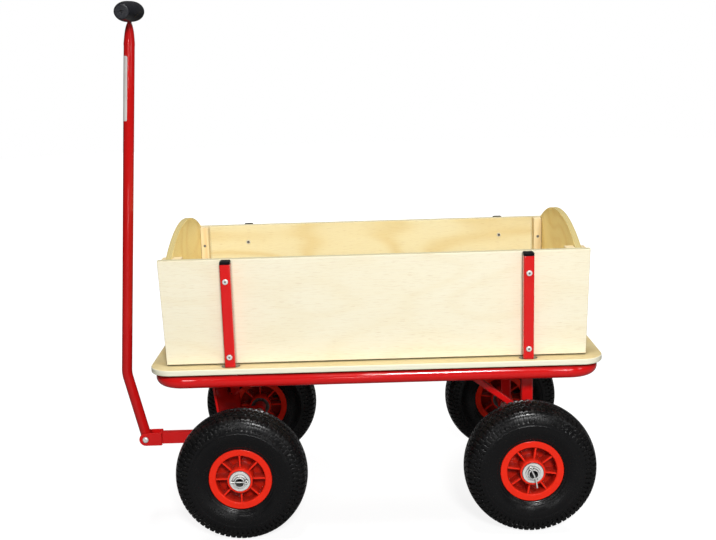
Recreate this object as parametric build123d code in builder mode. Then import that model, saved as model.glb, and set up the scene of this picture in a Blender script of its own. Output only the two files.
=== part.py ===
"""A wooden pull wagon: ply box on a tube frame, four air-filled wheels, steered by a tall T-handle.

Millimetres, +Z up, floor at Z 0. -X is the front, where the handle is, and -Y is the left side.
"""

from build123d import *
import math
import os

os.makedirs("parts", exist_ok=True)

# Wheels and their places
wheel_radius = 130
tyre_half_width = 42.5
wheelbase = 568
half_track = 214

# Deck and the frame tube under it
deck_length = 878
deck_width = 474
deck_thickness = 12
deck_top = 351.5
deck_corner_radius = 45
deck_ahead_of_axle = 168
deck_edge_round = 2.5
ring_tube_radius = 15
ring_tube_wall = 2
ring_inset = 5
ring_corner_radius = 44
vent_radius = 3
rail_size = 25
rail_wall = 2
rail_from_kingpin = 55

# Box: side panels, end boards and the battens between them
box_behind_axle = 271
box_half_width = 207
panel_thickness = 15
panel_height = 206
panel_lift = 2
panel_foot_half_length = 406
panel_end_flare = 6
board_thickness = 12
board_play = 0.3
board_outer_face = 398
board_arch_rise = 45
batten_width = 17
batten_depth = 24
batten_screw_heights = (394, 518)
edge_round = 1.5

# Stakes on the sides
stake_size = 20
stake_wall = 1.5
stake_corner = 3
stake_front_behind_axle = -10
stake_rear_behind_axle = 563.3
stake_below_panel_top = 7
stake_cap_height = 6.5
stake_bolt_heights = (372, 520)
spigot_radius = 7.5
spigot_top = 364
deck_slot_length = 36
deck_slot_width = 23

# Axles, rear legs and braces
axle_radius = 10
axle_wall = 1.5
hub_half_length = 40
axle_end_past_hub = 9
pin_past_hub = 6.1
pin_radius = 1.6
pin_head_reach = 10.4
pin_reach = 17
front_pin_leg = 4
rear_pin_leg = 17
pin_leg_from = 13
pin_leg_radius = 1.2
pin_leg_splay = 14
front_pin_turn = 180
rear_pin_turn = -67
pin_eye_radius = 2.6
pin_eye_wire = 1.2
end_play = 0.2
boss_tube_radius = 13.5
big_washer_radius = 20
small_washer_radius = 14
axle_washer = 2
washer_gap = 0.05
leg_size = 22.5
leg_wall = 2
leg_corner = 3
leg_y = 148
leg_behind_axle = 4
leg_foot = 122
boss_tube_past_leg = 8
brace_size = 11.4
brace_wall = 1.5
brace_corner = 2
brace_head_behind_axle = 436.5
brace_foot = 221.5

# Turntable and fork
kingpin_ahead_of_axle = 36
kingpin_radius = 7
kingpin_flats_half = 10.5
kingpin_head = 9
kingpin_washer = 3
kingpin_washer_radius = 12
kingpin_nut = 11
kingpin_end = 6
turntable_thickness = 5
turntable_width = 140
turntable_corner = 10
disc_thickness = 2.5
disc_radius = 62
turning_gap = 0.2
steering_plate_depth = 54
steering_plate_corner = 8
sleeve_length = 60
sleeve_radius = 11
fork_half_width = 140
fork_plate = 4
fork_rake = 0.126
fork_top_ahead_of_axle = 62.7
fork_boss_radius = 15
fork_cheek_height = 142

# Drawbar and handle
drawbar_height = 25
drawbar_width = 15
drawbar_wall = 2
pivot_ahead_of_axle = 232
pivot_height = 127.5
clevis_radius = 14
clevis_gap = 22.8
clevis_wall = 3
clevis_length = 34
pivot_bolt_radius = 4
pivot_bolt_past_clevis = 8
pivot_head_radius = 6.5
pivot_head_height = 4.5
pivot_nut_flats_half = 6.5
pivot_nut_height = 6
pole_radius = 11
pole_wall = 2
bend_ahead_of_pivot = 32.5
bend_height = 275.5
bend_radius = 60
pole_lean_back = 4.75
pole_round_to = 962
pole_squeeze_height = 48
pole_squeeze_steps = (0.3, 0.5, 0.7, 0.83, 0.92, 0.96)
pole_flat_half_width = 15
grip_height = 1030
grip_half_length = 74
grip_middle_radius = 20.5
grip_quarter_radius = 19
grip_end_radius = 14.8
grip_end_round = 2.5
grip_tilt = 2.5
grip_recess_radius = 3
grip_recess_depth = 3

# Wheel sections, as half widths along the axle and radii from it
bead_seat_radius = 50.8
bead_toe = 22
bead_toe_height = 57
flange_inner = 29
flange_outer = 33
flange_radius = 61.8
flange_round = 1.5
dish_radius = 48.3
dish_mouth_slope = 1.5
hub_radius = 24.5
hub_bore_radius = 18
bearing_radius = 21
bearing_width = 12
shield_outer_radius = 18
shield_inner_radius = 13.5
shield_depth = 0.6
web_half = 3
rib_count = 8
rib_thickness = 3.2
rib_reach = 29
lip_gap = 0.5
sidewall_widest_radius = 92
shoulder_half_width = 38
shoulder_radius = 114.5
tread_half_width = 27
tread_edge_radius = 126
cavity_widest = 36
cavity_widest_radius = 90
cavity_shoulder = 29
cavity_shoulder_radius = 113
cavity_top_radius = 121
tube_wall = 2.5
tube_play = 0.15
valve_radius = 3.5
valve_bore_radius = 1.2
valve_tip_radius = 32
valve_inset = 13
front_rim_turn = 0
rear_rim_turn = -9

# Fits and fasteners
running_clearance = 0.08
bearing_clearance = 0.05
thread_clearance = 0.05
deck_screw_ys = (-150, -50, 50, 150)
deck_screw_head_radius = 4.5
deck_screw_length = 20
batten_screw_head_radius = 3.2
batten_screw_length = 34
screw_head_height = 2.5
screw_radius = 2
stake_bolt_radius = 3
stake_bolt_short = 2
button_head_radius = 5.5
button_head_height = 3.2
button_head_round = 1.8
button_socket_half = 1.8
button_socket_depth = 1.6
sleeve_nut_radius = 4.2
sleeve_nut_depth = 12
sleeve_nut_proud = 0.8

# Heights that follow from the driving sizes
deck_bottom = deck_top - deck_thickness
ring_z = deck_bottom - ring_tube_radius
rail_z = deck_bottom - rail_size / 2
rail_bottom = deck_bottom - rail_size
turntable_bottom = rail_bottom - turntable_thickness
steering_top = turntable_bottom - disc_thickness - turning_gap
fork_top = steering_top - turntable_thickness
fork_foot = wheel_radius - fork_boss_radius
panel_bottom = deck_top + panel_lift
panel_top = panel_bottom + panel_height
stake_top = panel_top - stake_below_panel_top

# The handle's bend leans forward below and back above, and its round is the front of the wagon
lower_lean = math.degrees(math.atan2(bend_ahead_of_pivot, bend_height - pivot_height))
bend_half_turn = math.radians((lower_lean + pole_lean_back) / 2)
bend_mean_lean = math.radians((lower_lean - pole_lean_back) / 2)
bend_cut = bend_radius * (math.cos(bend_mean_lean) / math.cos(bend_half_turn) - 1)
front_reach = pivot_ahead_of_axle + bend_ahead_of_pivot - bend_cut + pole_radius
rear_reach = deck_length - deck_ahead_of_axle

# Places along the wagon, with the middle of its whole length at X 0
front_x = (front_reach - rear_reach) / 2
rear_x = front_x + wheelbase
deck_x = front_x + deck_length / 2 - deck_ahead_of_axle
box_x = front_x + box_behind_axle
kingpin_x = front_x - kingpin_ahead_of_axle
pivot_x = front_x - pivot_ahead_of_axle
clevis_back_x = pivot_x + clevis_length
bend_x = pivot_x - bend_ahead_of_pivot
stake_xs = (front_x + stake_front_behind_axle, front_x + stake_rear_behind_axle)
front_rail_xs = (kingpin_x - rail_from_kingpin, kingpin_x + rail_from_kingpin)
leg_x = rear_x + leg_behind_axle
rear_rail_xs = (front_x + brace_head_behind_axle, leg_x)
leg_front_x = leg_x - leg_size / 2

# Places across the wagon
ring_y = deck_width / 2 - ring_inset - ring_tube_radius
rail_end_y = ring_y - ring_tube_radius / 2
stake_y = box_half_width + stake_size / 2
stake_outer_y = box_half_width + stake_size
panel_inner_y = box_half_width - panel_thickness
batten_inner_y = panel_inner_y - batten_depth
hub_inner_y = half_track - hub_half_length
hub_outer_y = half_track + hub_half_length
clevis_half = clevis_gap / 2 + clevis_wall

both_sides = (("left", -1), ("right", 1))
hanging = (Align.CENTER, Align.CENTER, Align.MAX)
standing = (Align.CENTER, Align.CENTER, Align.MIN)


def save(piece, name):
    piece.part.label = name
    export_step(piece.part, f"parts/{name}.step")


def ring_along_y(x, y_from, y_to, z, outer, inner):
    """A plain ring on an axis along Y, added to the part being built."""
    with BuildSketch(Plane(origin=(x, y_from, z), z_dir=(0, 1, 0))) as ring:
        Circle(outer)
        Circle(inner, mode=Mode.SUBTRACT)
    extrude(ring.sketch, amount=y_to - y_from)


def countersunk_screws(points, outward, head_radius, length):
    """Screws with flat heads level with the given points, added to the part being built."""
    with Locations(*[Plane(origin=point, z_dir=outward) for point in points]):
        Cone(screw_radius, head_radius, screw_head_height, align=hanging)
        Cylinder(screw_radius, length, align=hanging)


def rake_x(z):
    """The X of the fork's front face at height z: its foot trails behind its head."""
    return front_x - fork_top_ahead_of_axle + fork_rake * (fork_top - z)


# Screws that hold the deck to the cross rails
with BuildPart() as deck_screws:
    screw_points = [(x, y, deck_top) for x in (*front_rail_xs, *rear_rail_xs) for y in deck_screw_ys]
    countersunk_screws(screw_points, (0, 0, 1), deck_screw_head_radius, deck_screw_length)
save(deck_screws, "deck_screws")

# Deck with a slot round each stake
with BuildPart() as deck_board:
    with BuildSketch(Plane.XY.offset(deck_bottom)):
        with Locations((deck_x, 0)):
            RectangleRounded(deck_length, deck_width, deck_corner_radius)
        with Locations(*[(x, s * stake_y) for x in stake_xs for _, s in both_sides]):
            SlotOverall(deck_slot_length, deck_slot_width, mode=Mode.SUBTRACT)
    extrude(amount=deck_thickness)
    deck_faces = deck_board.faces().filter_by(Axis.Z).sort_by(Axis.Z)
    fillet([*deck_faces[0].outer_wire().edges(), *deck_faces[-1].outer_wire().edges()], deck_edge_round)
    add(deck_screws.part, mode=Mode.SUBTRACT)
save(deck_board, "deck_board")

# Frame tube bent into a ring under the deck's edge, with a vent hole in the underside of each side
with BuildSketch(Plane.XY.offset(ring_z)) as ring_route:
    with Locations((deck_x, 0)):
        RectangleRounded(deck_length - deck_width + 2 * ring_y, 2 * ring_y, ring_corner_radius)
ring_path = ring_route.sketch.face().outer_wire()
with BuildPart() as frame_ring:
    with BuildSketch(Plane(origin=ring_path @ 0, z_dir=ring_path % 0)):
        Circle(ring_tube_radius)
        Circle(ring_tube_radius - ring_tube_wall, mode=Mode.SUBTRACT)
    sweep(path=ring_path)
    with Locations((deck_x, -ring_y, ring_z), (deck_x, ring_y, ring_z)):
        Cylinder(vent_radius, 2 * ring_tube_radius, align=hanging, mode=Mode.SUBTRACT)
save(frame_ring, "frame_ring")


def trim_to_ring():
    """Cuts the ring's two straight sides, as solid bars, out of the part being built."""
    with Locations(*[Plane(origin=(deck_x, s * ring_y, ring_z), z_dir=(1, 0, 0)) for _, s in both_sides]):
        Cylinder(ring_tube_radius, deck_length, mode=Mode.SUBTRACT)


# Square cross rails, trimmed to the round of the ring
for end, rail_xs in (("front", front_rail_xs), ("rear", rear_rail_xs)):
    with BuildPart() as cross_rails:
        with BuildSketch(Plane.XZ):
            with Locations(*[(x, rail_z) for x in rail_xs]):
                Rectangle(rail_size, rail_size)
                Rectangle(rail_size - 2 * rail_wall, rail_size - 2 * rail_wall, mode=Mode.SUBTRACT)
        extrude(amount=rail_end_y, both=True)
        trim_to_ring()
        add(deck_screws.part, mode=Mode.SUBTRACT)
    save(cross_rails, f"{end}_cross_rails")

# Pegs on the ring that the stakes slip over
with BuildPart() as stake_spigots:
    with Locations(*[(x, s * stake_y, ring_z) for x in stake_xs for _, s in both_sides]):
        Cylinder(spigot_radius, spigot_top - ring_z, align=standing)
    chamfer(stake_spigots.faces().group_by(Axis.Z)[-1].edges(), edge_round)
    trim_to_ring()
save(stake_spigots, "stake_spigots")

# Kingpin: bolt hanging from the turntable plate, with a washer and nut below the sleeve
washer_top = fork_top - sleeve_length - turning_gap
nut_top = washer_top - kingpin_washer
bolt_end = nut_top - kingpin_nut - kingpin_end
with BuildPart() as kingpin:
    with BuildSketch(Plane.XY.offset(rail_bottom)):
        with Locations((kingpin_x, 0)):
            RegularPolygon(kingpin_flats_half, 6, major_radius=False)
    extrude(amount=kingpin_head)
    with Locations((kingpin_x, 0, rail_bottom)):
        Cylinder(kingpin_radius, rail_bottom - bolt_end, align=hanging)
    with BuildSketch(Plane.XY.offset(nut_top)):
        with Locations((kingpin_x, 0)):
            Circle(kingpin_washer_radius)
            Circle(kingpin_radius + thread_clearance, mode=Mode.SUBTRACT)
    extrude(amount=kingpin_washer)
    with BuildSketch(Plane.XY.offset(nut_top - washer_gap)):
        with Locations((kingpin_x, 0)):
            RegularPolygon(kingpin_flats_half, 6, major_radius=False)
            Circle(kingpin_radius + thread_clearance, mode=Mode.SUBTRACT)
    extrude(amount=-kingpin_nut)
save(kingpin, "kingpin")

# Turntable: a steel plate under the rails and a plastic disc below it
with BuildPart() as turntable_plate:
    with BuildSketch(Plane.XY.offset(turntable_bottom)):
        with Locations((kingpin_x, 0)):
            RectangleRounded(2 * rail_from_kingpin + rail_size, turntable_width, turntable_corner)
            Circle(kingpin_radius, mode=Mode.SUBTRACT)
    extrude(amount=turntable_thickness)
save(turntable_plate, "turntable_plate")

with BuildPart() as turntable_disc:
    with BuildSketch(Plane.XY.offset(turntable_bottom)):
        with Locations((kingpin_x, 0)):
            Circle(disc_radius)
            Circle(kingpin_radius, mode=Mode.SUBTRACT)
    extrude(amount=-disc_thickness)
save(turntable_disc, "turntable_disc")


def axle_set(end, x, pin_turn, pin_leg):
    """One axle, its washers, and its split pins, turned by pin_turn from level and with one leg splayed."""
    pin_way = (math.cos(math.radians(pin_turn)), 0, math.sin(math.radians(pin_turn)))
    pin_y = hub_outer_y + pin_past_hub
    axle_half_length = hub_outer_y + axle_end_past_hub
    washer_y = hub_outer_y + end_play
    small_washer_y = washer_y + axle_washer + washer_gap
    with BuildPart() as split_pins:
        pin_places = [(x, s * pin_y, wheel_radius) for _, s in both_sides]
        with Locations(*[Plane(origin=place, x_dir=(0, 1, 0), z_dir=pin_way) for place in pin_places]):
            with Locations((0, 0, -pin_head_reach)):
                Cylinder(pin_radius, pin_head_reach + pin_reach, align=standing)
            with Locations(Location((0, 0, pin_leg_from), (pin_leg_splay, 0, 0))):
                Cylinder(pin_leg_radius, pin_leg, align=standing)
            with Locations(Location((0, 0, -pin_head_reach - pin_eye_radius), (0, 90, 0))):
                Torus(pin_eye_radius, pin_eye_wire)
    save(split_pins, f"{end}_split_pins")
    with BuildPart() as axle:
        bore_radius = axle_radius - axle_wall
        ring_along_y(x, -axle_half_length, axle_half_length, wheel_radius, axle_radius, bore_radius)
        add(split_pins.part, mode=Mode.SUBTRACT)
    save(axle, f"{end}_axle")
    with BuildPart() as washers:
        for _, s in both_sides:
            big_to = washer_y + axle_washer
            small_to = small_washer_y + axle_washer
            ring_along_y(x, s * washer_y, s * big_to, wheel_radius, big_washer_radius, axle_radius)
            ring_along_y(x, s * small_washer_y, s * small_to, wheel_radius, small_washer_radius, axle_radius)
    save(washers, f"{end}_axle_washers")


axle_set("front", front_x, front_pin_turn, front_pin_leg)
axle_set("rear", rear_x, rear_pin_turn, rear_pin_leg)


def boss_tube(x, s, y_from):
    """Tube round the axle from a leg out to the wheel's hub, added to the part being built."""
    ring_along_y(x, s * y_from, s * (hub_inner_y - end_play), wheel_radius, boss_tube_radius, axle_radius)


# Rear legs, each on a boss tube that holds the axle and reaches out to the wheel's hub
for side_name, s in both_sides:
    with BuildPart() as rear_leg:
        with BuildSketch(Plane.XY.offset(leg_foot)):
            with Locations((leg_x, s * leg_y)):
                RectangleRounded(leg_size, leg_size, leg_corner)
                Rectangle(leg_size - 2 * leg_wall, leg_size - 2 * leg_wall, mode=Mode.SUBTRACT)
        extrude(amount=rail_bottom - leg_foot)
        boss_tube(rear_x, s, leg_y - leg_size / 2 - boss_tube_past_leg)
        with Locations(Plane(origin=(rear_x, s * leg_y, wheel_radius), z_dir=(0, 1, 0))):
            Cylinder(axle_radius, 2 * leg_size, mode=Mode.SUBTRACT)
    save(rear_leg, f"rear_leg_{side_name}")

# Slanting braces from the legs up to the rail ahead of them
brace_way = Vector(rear_rail_xs[0] - leg_front_x, 0, rail_bottom - brace_foot)
brace_middles = [Vector(leg_front_x, s * leg_y, brace_foot) + brace_way / 2 for _, s in both_sides]
with BuildPart() as rear_braces:
    with BuildSketch(*[Plane(origin=p, x_dir=(0, 1, 0), z_dir=brace_way) for p in brace_middles]):
        RectangleRounded(brace_size, brace_size, brace_corner)
        Rectangle(brace_size - 2 * brace_wall, brace_size - 2 * brace_wall, mode=Mode.SUBTRACT)
    extrude(amount=brace_way.length / 2 + 2 * brace_size, both=True)
    split(bisect_by=Plane.XY.offset(rail_bottom), keep=Keep.BOTTOM)
    split(bisect_by=Plane.YZ.offset(leg_front_x), keep=Keep.BOTTOM)
save(rear_braces, "rear_braces")

# Steering plate and the sleeve that turns on the kingpin
with BuildPart() as steering_plate:
    with BuildSketch(Plane.XY.offset(fork_top)):
        with Locations((rake_x(fork_top) + steering_plate_depth / 2, 0)):
            RectangleRounded(steering_plate_depth, 2 * fork_half_width, steering_plate_corner)
        with Locations((kingpin_x, 0)):
            Circle(kingpin_radius + running_clearance, mode=Mode.SUBTRACT)
    extrude(amount=turntable_thickness)
save(steering_plate, "steering_plate")

with BuildPart() as kingpin_sleeve:
    with BuildSketch(Plane.XY.offset(fork_top)):
        with Locations((kingpin_x, 0)):
            Circle(sleeve_radius)
            Circle(kingpin_radius + running_clearance, mode=Mode.SUBTRACT)
    extrude(amount=-sleeve_length)
save(kingpin_sleeve, "kingpin_sleeve")

# Raked front plate of the fork
with BuildPart() as fork_front_plate:
    with BuildSketch(Plane.XZ):
        Polygon(
            (rake_x(fork_foot), fork_foot),
            (rake_x(fork_foot) + fork_plate, fork_foot),
            (rake_x(fork_top) + fork_plate, fork_top),
            (rake_x(fork_top), fork_top),
            align=None,
        )
    extrude(amount=fork_half_width, both=True)
save(fork_front_plate, "fork_front_plate")

# Fork legs: low cheeks from the front plate back to the axle, with a boss tube toward the wheel
for side_name, s in both_sides:
    with BuildPart() as fork_leg:
        with BuildSketch(Plane.XZ.offset(-s * (fork_half_width - fork_plate / 2))):
            Polygon(
                (rake_x(fork_foot) + fork_plate, fork_foot),
                (front_x, wheel_radius - fork_boss_radius),
                (front_x, wheel_radius + fork_boss_radius),
                (rake_x(fork_cheek_height) + fork_plate, fork_cheek_height),
                align=None,
            )
            with Locations((front_x, wheel_radius)):
                Circle(fork_boss_radius)
                Circle(axle_radius, mode=Mode.SUBTRACT)
        extrude(amount=fork_plate / 2, both=True)
        boss_tube(front_x, s, fork_half_width)
    save(fork_leg, f"fork_leg_{side_name}")

# Bolt and nut that the pole turns on
with BuildPart() as pivot_bolt:
    with Locations(Plane(origin=(pivot_x, -clevis_half, pivot_height), z_dir=(0, 1, 0))):
        Cylinder(pivot_head_radius, pivot_head_height, align=hanging)
        Cylinder(pivot_bolt_radius, 2 * clevis_half + pivot_bolt_past_clevis, align=standing)
    fillet(pivot_bolt.faces().sort_by(Axis.Y)[0].edges(), pivot_head_height - 1)
    with BuildSketch(Plane(origin=(pivot_x, clevis_half, pivot_height), z_dir=(0, 1, 0))):
        RegularPolygon(pivot_nut_flats_half, 6, major_radius=False)
        Circle(pivot_bolt_radius + thread_clearance, mode=Mode.SUBTRACT)
    extrude(amount=pivot_nut_height)
save(pivot_bolt, "pivot_bolt")

# Clevis at the front of the drawbar: two cheeks with round ends and a back plate
with BuildPart() as drawbar_clevis:
    with BuildSketch(Plane.XZ):
        with Locations((pivot_x + clevis_length / 2, pivot_height)):
            Rectangle(clevis_length, 2 * clevis_radius)
        with Locations((pivot_x, pivot_height)):
            Circle(clevis_radius)
            Circle(pivot_bolt_radius, mode=Mode.SUBTRACT)
    extrude(amount=clevis_half, both=True)
    with BuildSketch(Plane.XZ):
        with Locations((clevis_back_x - clevis_wall, pivot_height)):
            Rectangle(2 * clevis_length, 3 * clevis_radius, align=(Align.MAX, Align.CENTER))
    extrude(amount=clevis_gap / 2, both=True, mode=Mode.SUBTRACT)
save(drawbar_clevis, "drawbar_clevis")

# Drawbar from the clevis back to the raked front plate
with BuildPart() as drawbar:
    with BuildSketch(Plane.YZ.offset(clevis_back_x)):
        with Locations((0, pivot_height)):
            Rectangle(drawbar_width, drawbar_height)
            Rectangle(drawbar_width - 2 * drawbar_wall, drawbar_height - 2 * drawbar_wall, mode=Mode.SUBTRACT)
    extrude(amount=front_x - clevis_back_x)
    rake_plane = Plane(origin=(rake_x(pivot_height), 0, pivot_height), z_dir=(1, 0, fork_rake))
    split(bisect_by=rake_plane, keep=Keep.BOTTOM)
save(drawbar, "drawbar")

# Pole: a bent tube, rounded at the foot where it turns on the bolt, pressed flat at the top
pole_slope = math.tan(math.radians(pole_lean_back))


def pole_x(z):
    """The X of the pole's middle at height z, above its bend."""
    return bend_x + (z - bend_height) * pole_slope


def pole_plane(z):
    """A plane square to the pole at height z, above its bend."""
    return Plane(origin=(pole_x(z), 0, z), x_dir=(0, 1, 0), z_dir=(pole_slope, 0, 1))


def squeeze_z(step):
    """Height of a step in the squeezed end of the pole."""
    return pole_round_to + step * pole_squeeze_height


def squeeze_width(step):
    """Half width across the wagon of a step in the squeezed end."""
    return pole_radius + (pole_flat_half_width - pole_radius) * step**2


def squeeze_thickness(step):
    """Half thickness along the wagon of a step in the squeezed end."""
    return pole_radius * math.sqrt(1 - step**2)


lower_way = Vector(-bend_ahead_of_pivot, 0, bend_height - pivot_height).normalized()
pivot = Vector(pivot_x, 0, pivot_height)
pole_foot = pivot - lower_way * 2 * pole_radius

with BuildPart() as foot_trim:
    with BuildSketch(Plane(origin=pivot, x_dir=lower_way, z_dir=(0, 1, 0))):
        with Locations((-2 * pole_radius, 0)):
            Rectangle(4 * pole_radius, 4 * pole_radius)
        Circle(pole_radius, mode=Mode.SUBTRACT)
    extrude(amount=2 * pole_radius, both=True)

with BuildLine(Plane.XZ) as pole_route:
    FilletPolyline(
        (pole_foot.X, pole_foot.Z),
        (bend_x, bend_height),
        (pole_x(pole_round_to), pole_round_to),
        radius=bend_radius,
    )
pole_path = pole_route.wires()[0]

with BuildPart() as handle_pole:
    with BuildSketch(Plane(origin=pole_foot, x_dir=(0, 1, 0), z_dir=lower_way)):
        Circle(pole_radius)
        Circle(pole_radius - pole_wall, mode=Mode.SUBTRACT)
    sweep(path=pole_path)
    with BuildSketch(pole_plane(pole_round_to)):
        Circle(pole_radius)
    for step in pole_squeeze_steps:
        with BuildSketch(pole_plane(squeeze_z(step))):
            Ellipse(squeeze_width(step), squeeze_thickness(step))
    loft()
    with BuildSketch(pole_plane(squeeze_z(pole_squeeze_steps[-1]))):
        Ellipse(squeeze_width(pole_squeeze_steps[-1]), squeeze_thickness(pole_squeeze_steps[-1]))
    extrude(amount=grip_height - squeeze_z(pole_squeeze_steps[-1]))
    add(foot_trim.part, mode=Mode.SUBTRACT)
    with Locations(Plane(origin=pivot, z_dir=(0, 1, 0))):
        Cylinder(pivot_bolt_radius + running_clearance, 4 * pole_radius, mode=Mode.SUBTRACT)
save(handle_pole, "handle_pole")

# Barrel grip across the top of the pole, a little lower at its left end
grip_middle = Vector(pole_x(grip_height), 0, grip_height)
grip_way = Vector(0, math.cos(math.radians(grip_tilt)), math.sin(math.radians(grip_tilt)))
with BuildPart() as handle_grip:
    with BuildSketch(Plane(origin=grip_middle, x_dir=grip_way, z_dir=(1, 0, 0))):
        with BuildLine():
            Polyline(
                (-grip_half_length, grip_end_radius),
                (-grip_half_length, 0),
                (grip_half_length, 0),
                (grip_half_length, grip_end_radius),
            )
            Spline(
                (grip_half_length, grip_end_radius),
                (0.65 * grip_half_length, grip_quarter_radius),
                (0, grip_middle_radius),
                (-0.65 * grip_half_length, grip_quarter_radius),
                (-grip_half_length, grip_end_radius),
            )
        make_face()
    revolve(axis=Axis(grip_middle, grip_way))
    fillet(handle_grip.faces().filter_by(Axis((0, 0, 0), grip_way)).edges(), grip_end_round)
    grip_ends = [grip_middle + grip_way * (s * grip_half_length) for _, s in both_sides]
    with Locations(*[Plane(origin=grip_end, z_dir=grip_way) for grip_end in grip_ends]):
        Cylinder(grip_recess_radius, 2 * grip_recess_depth, mode=Mode.SUBTRACT)
    add(handle_pole.part, mode=Mode.SUBTRACT)
save(handle_grip, "handle_grip")


def tyre(centre, section):
    """Tyre: beads on the rim, bulged sides, full shoulders and a slightly round tread."""
    lip = (flange_outer + 2 * lip_gap, flange_radius + 3 * lip_gap)
    shoulder = (shoulder_half_width, shoulder_radius)
    shoulder_middle = (0.9 * shoulder_half_width, 0.35 * shoulder_radius + 0.65 * tread_edge_radius)
    tread_edge = (tread_half_width, tread_edge_radius)
    with BuildPart() as piece:
        with BuildSketch(section):
            with BuildLine():
                Polyline(
                    (bead_toe, bead_toe_height),
                    (bead_toe, bead_seat_radius),
                    (flange_inner, bead_seat_radius),
                    (flange_inner, flange_radius + lip_gap),
                    lip,
                )
                ThreePointArc(lip, (tyre_half_width, sidewall_widest_radius), shoulder)
                ThreePointArc(shoulder, shoulder_middle, tread_edge)
                ThreePointArc(
                    (bead_toe, bead_toe_height),
                    (cavity_widest, cavity_widest_radius),
                    (cavity_shoulder, cavity_shoulder_radius),
                )
                mirror(about=Plane.YZ)
                ThreePointArc(tread_edge, (0, wheel_radius), (-tread_half_width, tread_edge_radius))
                ThreePointArc(
                    (cavity_shoulder, cavity_shoulder_radius),
                    (0, cavity_top_radius),
                    (-cavity_shoulder, cavity_shoulder_radius),
                )
            make_face()
        revolve(axis=Axis(centre, (0, 1, 0)))
    return piece


def inner_tube(centre, section, valve_plane):
    """Air tube inside the tyre, with its valve through the rim."""
    with BuildPart() as piece:
        with BuildSketch(section):
            with BuildLine():
                Polyline((0, bead_seat_radius), (bead_toe, bead_seat_radius), (bead_toe, bead_toe_height))
                ThreePointArc(
                    (bead_toe, bead_toe_height),
                    (cavity_widest, cavity_widest_radius),
                    (cavity_shoulder, cavity_shoulder_radius),
                )
                mirror(about=Plane.YZ)
                ThreePointArc(
                    (cavity_shoulder, cavity_shoulder_radius),
                    (0, cavity_top_radius),
                    (-cavity_shoulder, cavity_shoulder_radius),
                )
            make_face()
            offset(amount=-tube_play, mode=Mode.REPLACE)
            offset(amount=-tube_wall, mode=Mode.SUBTRACT)
        revolve(axis=Axis(centre, (0, 1, 0)))
        with Locations(valve_plane):
            Cylinder(valve_radius, bead_seat_radius + tube_wall / 2 - valve_tip_radius, align=standing)
            Cylinder(
                valve_bore_radius,
                bead_seat_radius + 2 * tube_wall - valve_tip_radius,
                align=standing,
                mode=Mode.SUBTRACT,
            )
    return piece


def rim(centre, section, face, turn, valve_plane):
    """Moulded rim: hub, web, dished barrel with wide flanges, and ribs on both sides of the web."""
    with BuildPart() as piece:
        with BuildSketch(section):
            with BuildLine():
                Polyline(
                    (0, hub_bore_radius),
                    (hub_half_length - bearing_width, hub_bore_radius),
                    (hub_half_length - bearing_width, bearing_radius),
                    (hub_half_length, bearing_radius),
                    (hub_half_length, hub_radius),
                    (web_half, hub_radius),
                    (web_half, dish_radius),
                    (flange_outer - dish_mouth_slope, dish_radius),
                    (flange_outer, dish_radius + dish_mouth_slope),
                    (flange_outer, flange_radius),
                    (flange_inner, flange_radius),
                    (flange_inner, bead_seat_radius),
                    (0, bead_seat_radius),
                )
                mirror(about=Plane.YZ)
            make_face()
        revolve(axis=Axis(centre, (0, 1, 0)))
        with BuildSketch(face):
            with PolarLocations((hub_radius + dish_radius) / 2, rib_count, start_angle=turn):
                Rectangle(dish_radius - hub_radius + 2, rib_thickness)
        extrude(amount=rib_reach, both=True)
        fillet(piece.edges().filter_by(GeomType.CIRCLE).group_by(SortBy.RADIUS)[-1], flange_round)
        with Locations(valve_plane):
            Cylinder(valve_radius, flange_radius - valve_tip_radius, align=standing, mode=Mode.SUBTRACT)
    return piece


def bearings(centre):
    """Two ball bearings, each a ring with a sunk shield on its outer face."""
    x, y, z = centre
    with BuildPart() as piece:
        for _, s in both_sides:
            face_y = y + s * hub_half_length
            back_y = face_y - s * bearing_width
            ring_along_y(x, back_y, face_y, z, bearing_radius, axle_radius + bearing_clearance)
            with BuildSketch(Plane(origin=(x, face_y, z), z_dir=(0, s, 0))):
                Circle(shield_outer_radius)
                Circle(shield_inner_radius, mode=Mode.SUBTRACT)
            extrude(amount=-shield_depth, mode=Mode.SUBTRACT)
    return piece


# Four wheels; each valve is between two ribs, on the side toward the middle of the wagon
for end, x, turn in (("front", front_x, front_rim_turn), ("rear", rear_x, rear_rim_turn)):
    for side_name, s in both_sides:
        name = f"wheel_{end}_{side_name}"
        centre = (x, s * half_track, wheel_radius)
        section = Plane(origin=centre, x_dir=(0, 1, 0), z_dir=(1, 0, 0))
        face = Plane(origin=centre, x_dir=(1, 0, 0), z_dir=(0, -1, 0))
        valve_turn = math.radians(turn + 180 / rib_count)
        valve_way = Vector(math.cos(valve_turn), 0, math.sin(valve_turn))
        valve_tip = Vector(x, s * (half_track - valve_inset), wheel_radius) + valve_way * valve_tip_radius
        valve_plane = Plane(origin=valve_tip, z_dir=valve_way)
        save(tyre(centre, section), f"{name}_tyre")
        save(inner_tube(centre, section, valve_plane), f"{name}_inner_tube")
        save(rim(centre, section, face, turn, valve_plane), f"{name}_rim")
        save(bearings(centre), f"{name}_bearings")

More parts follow.
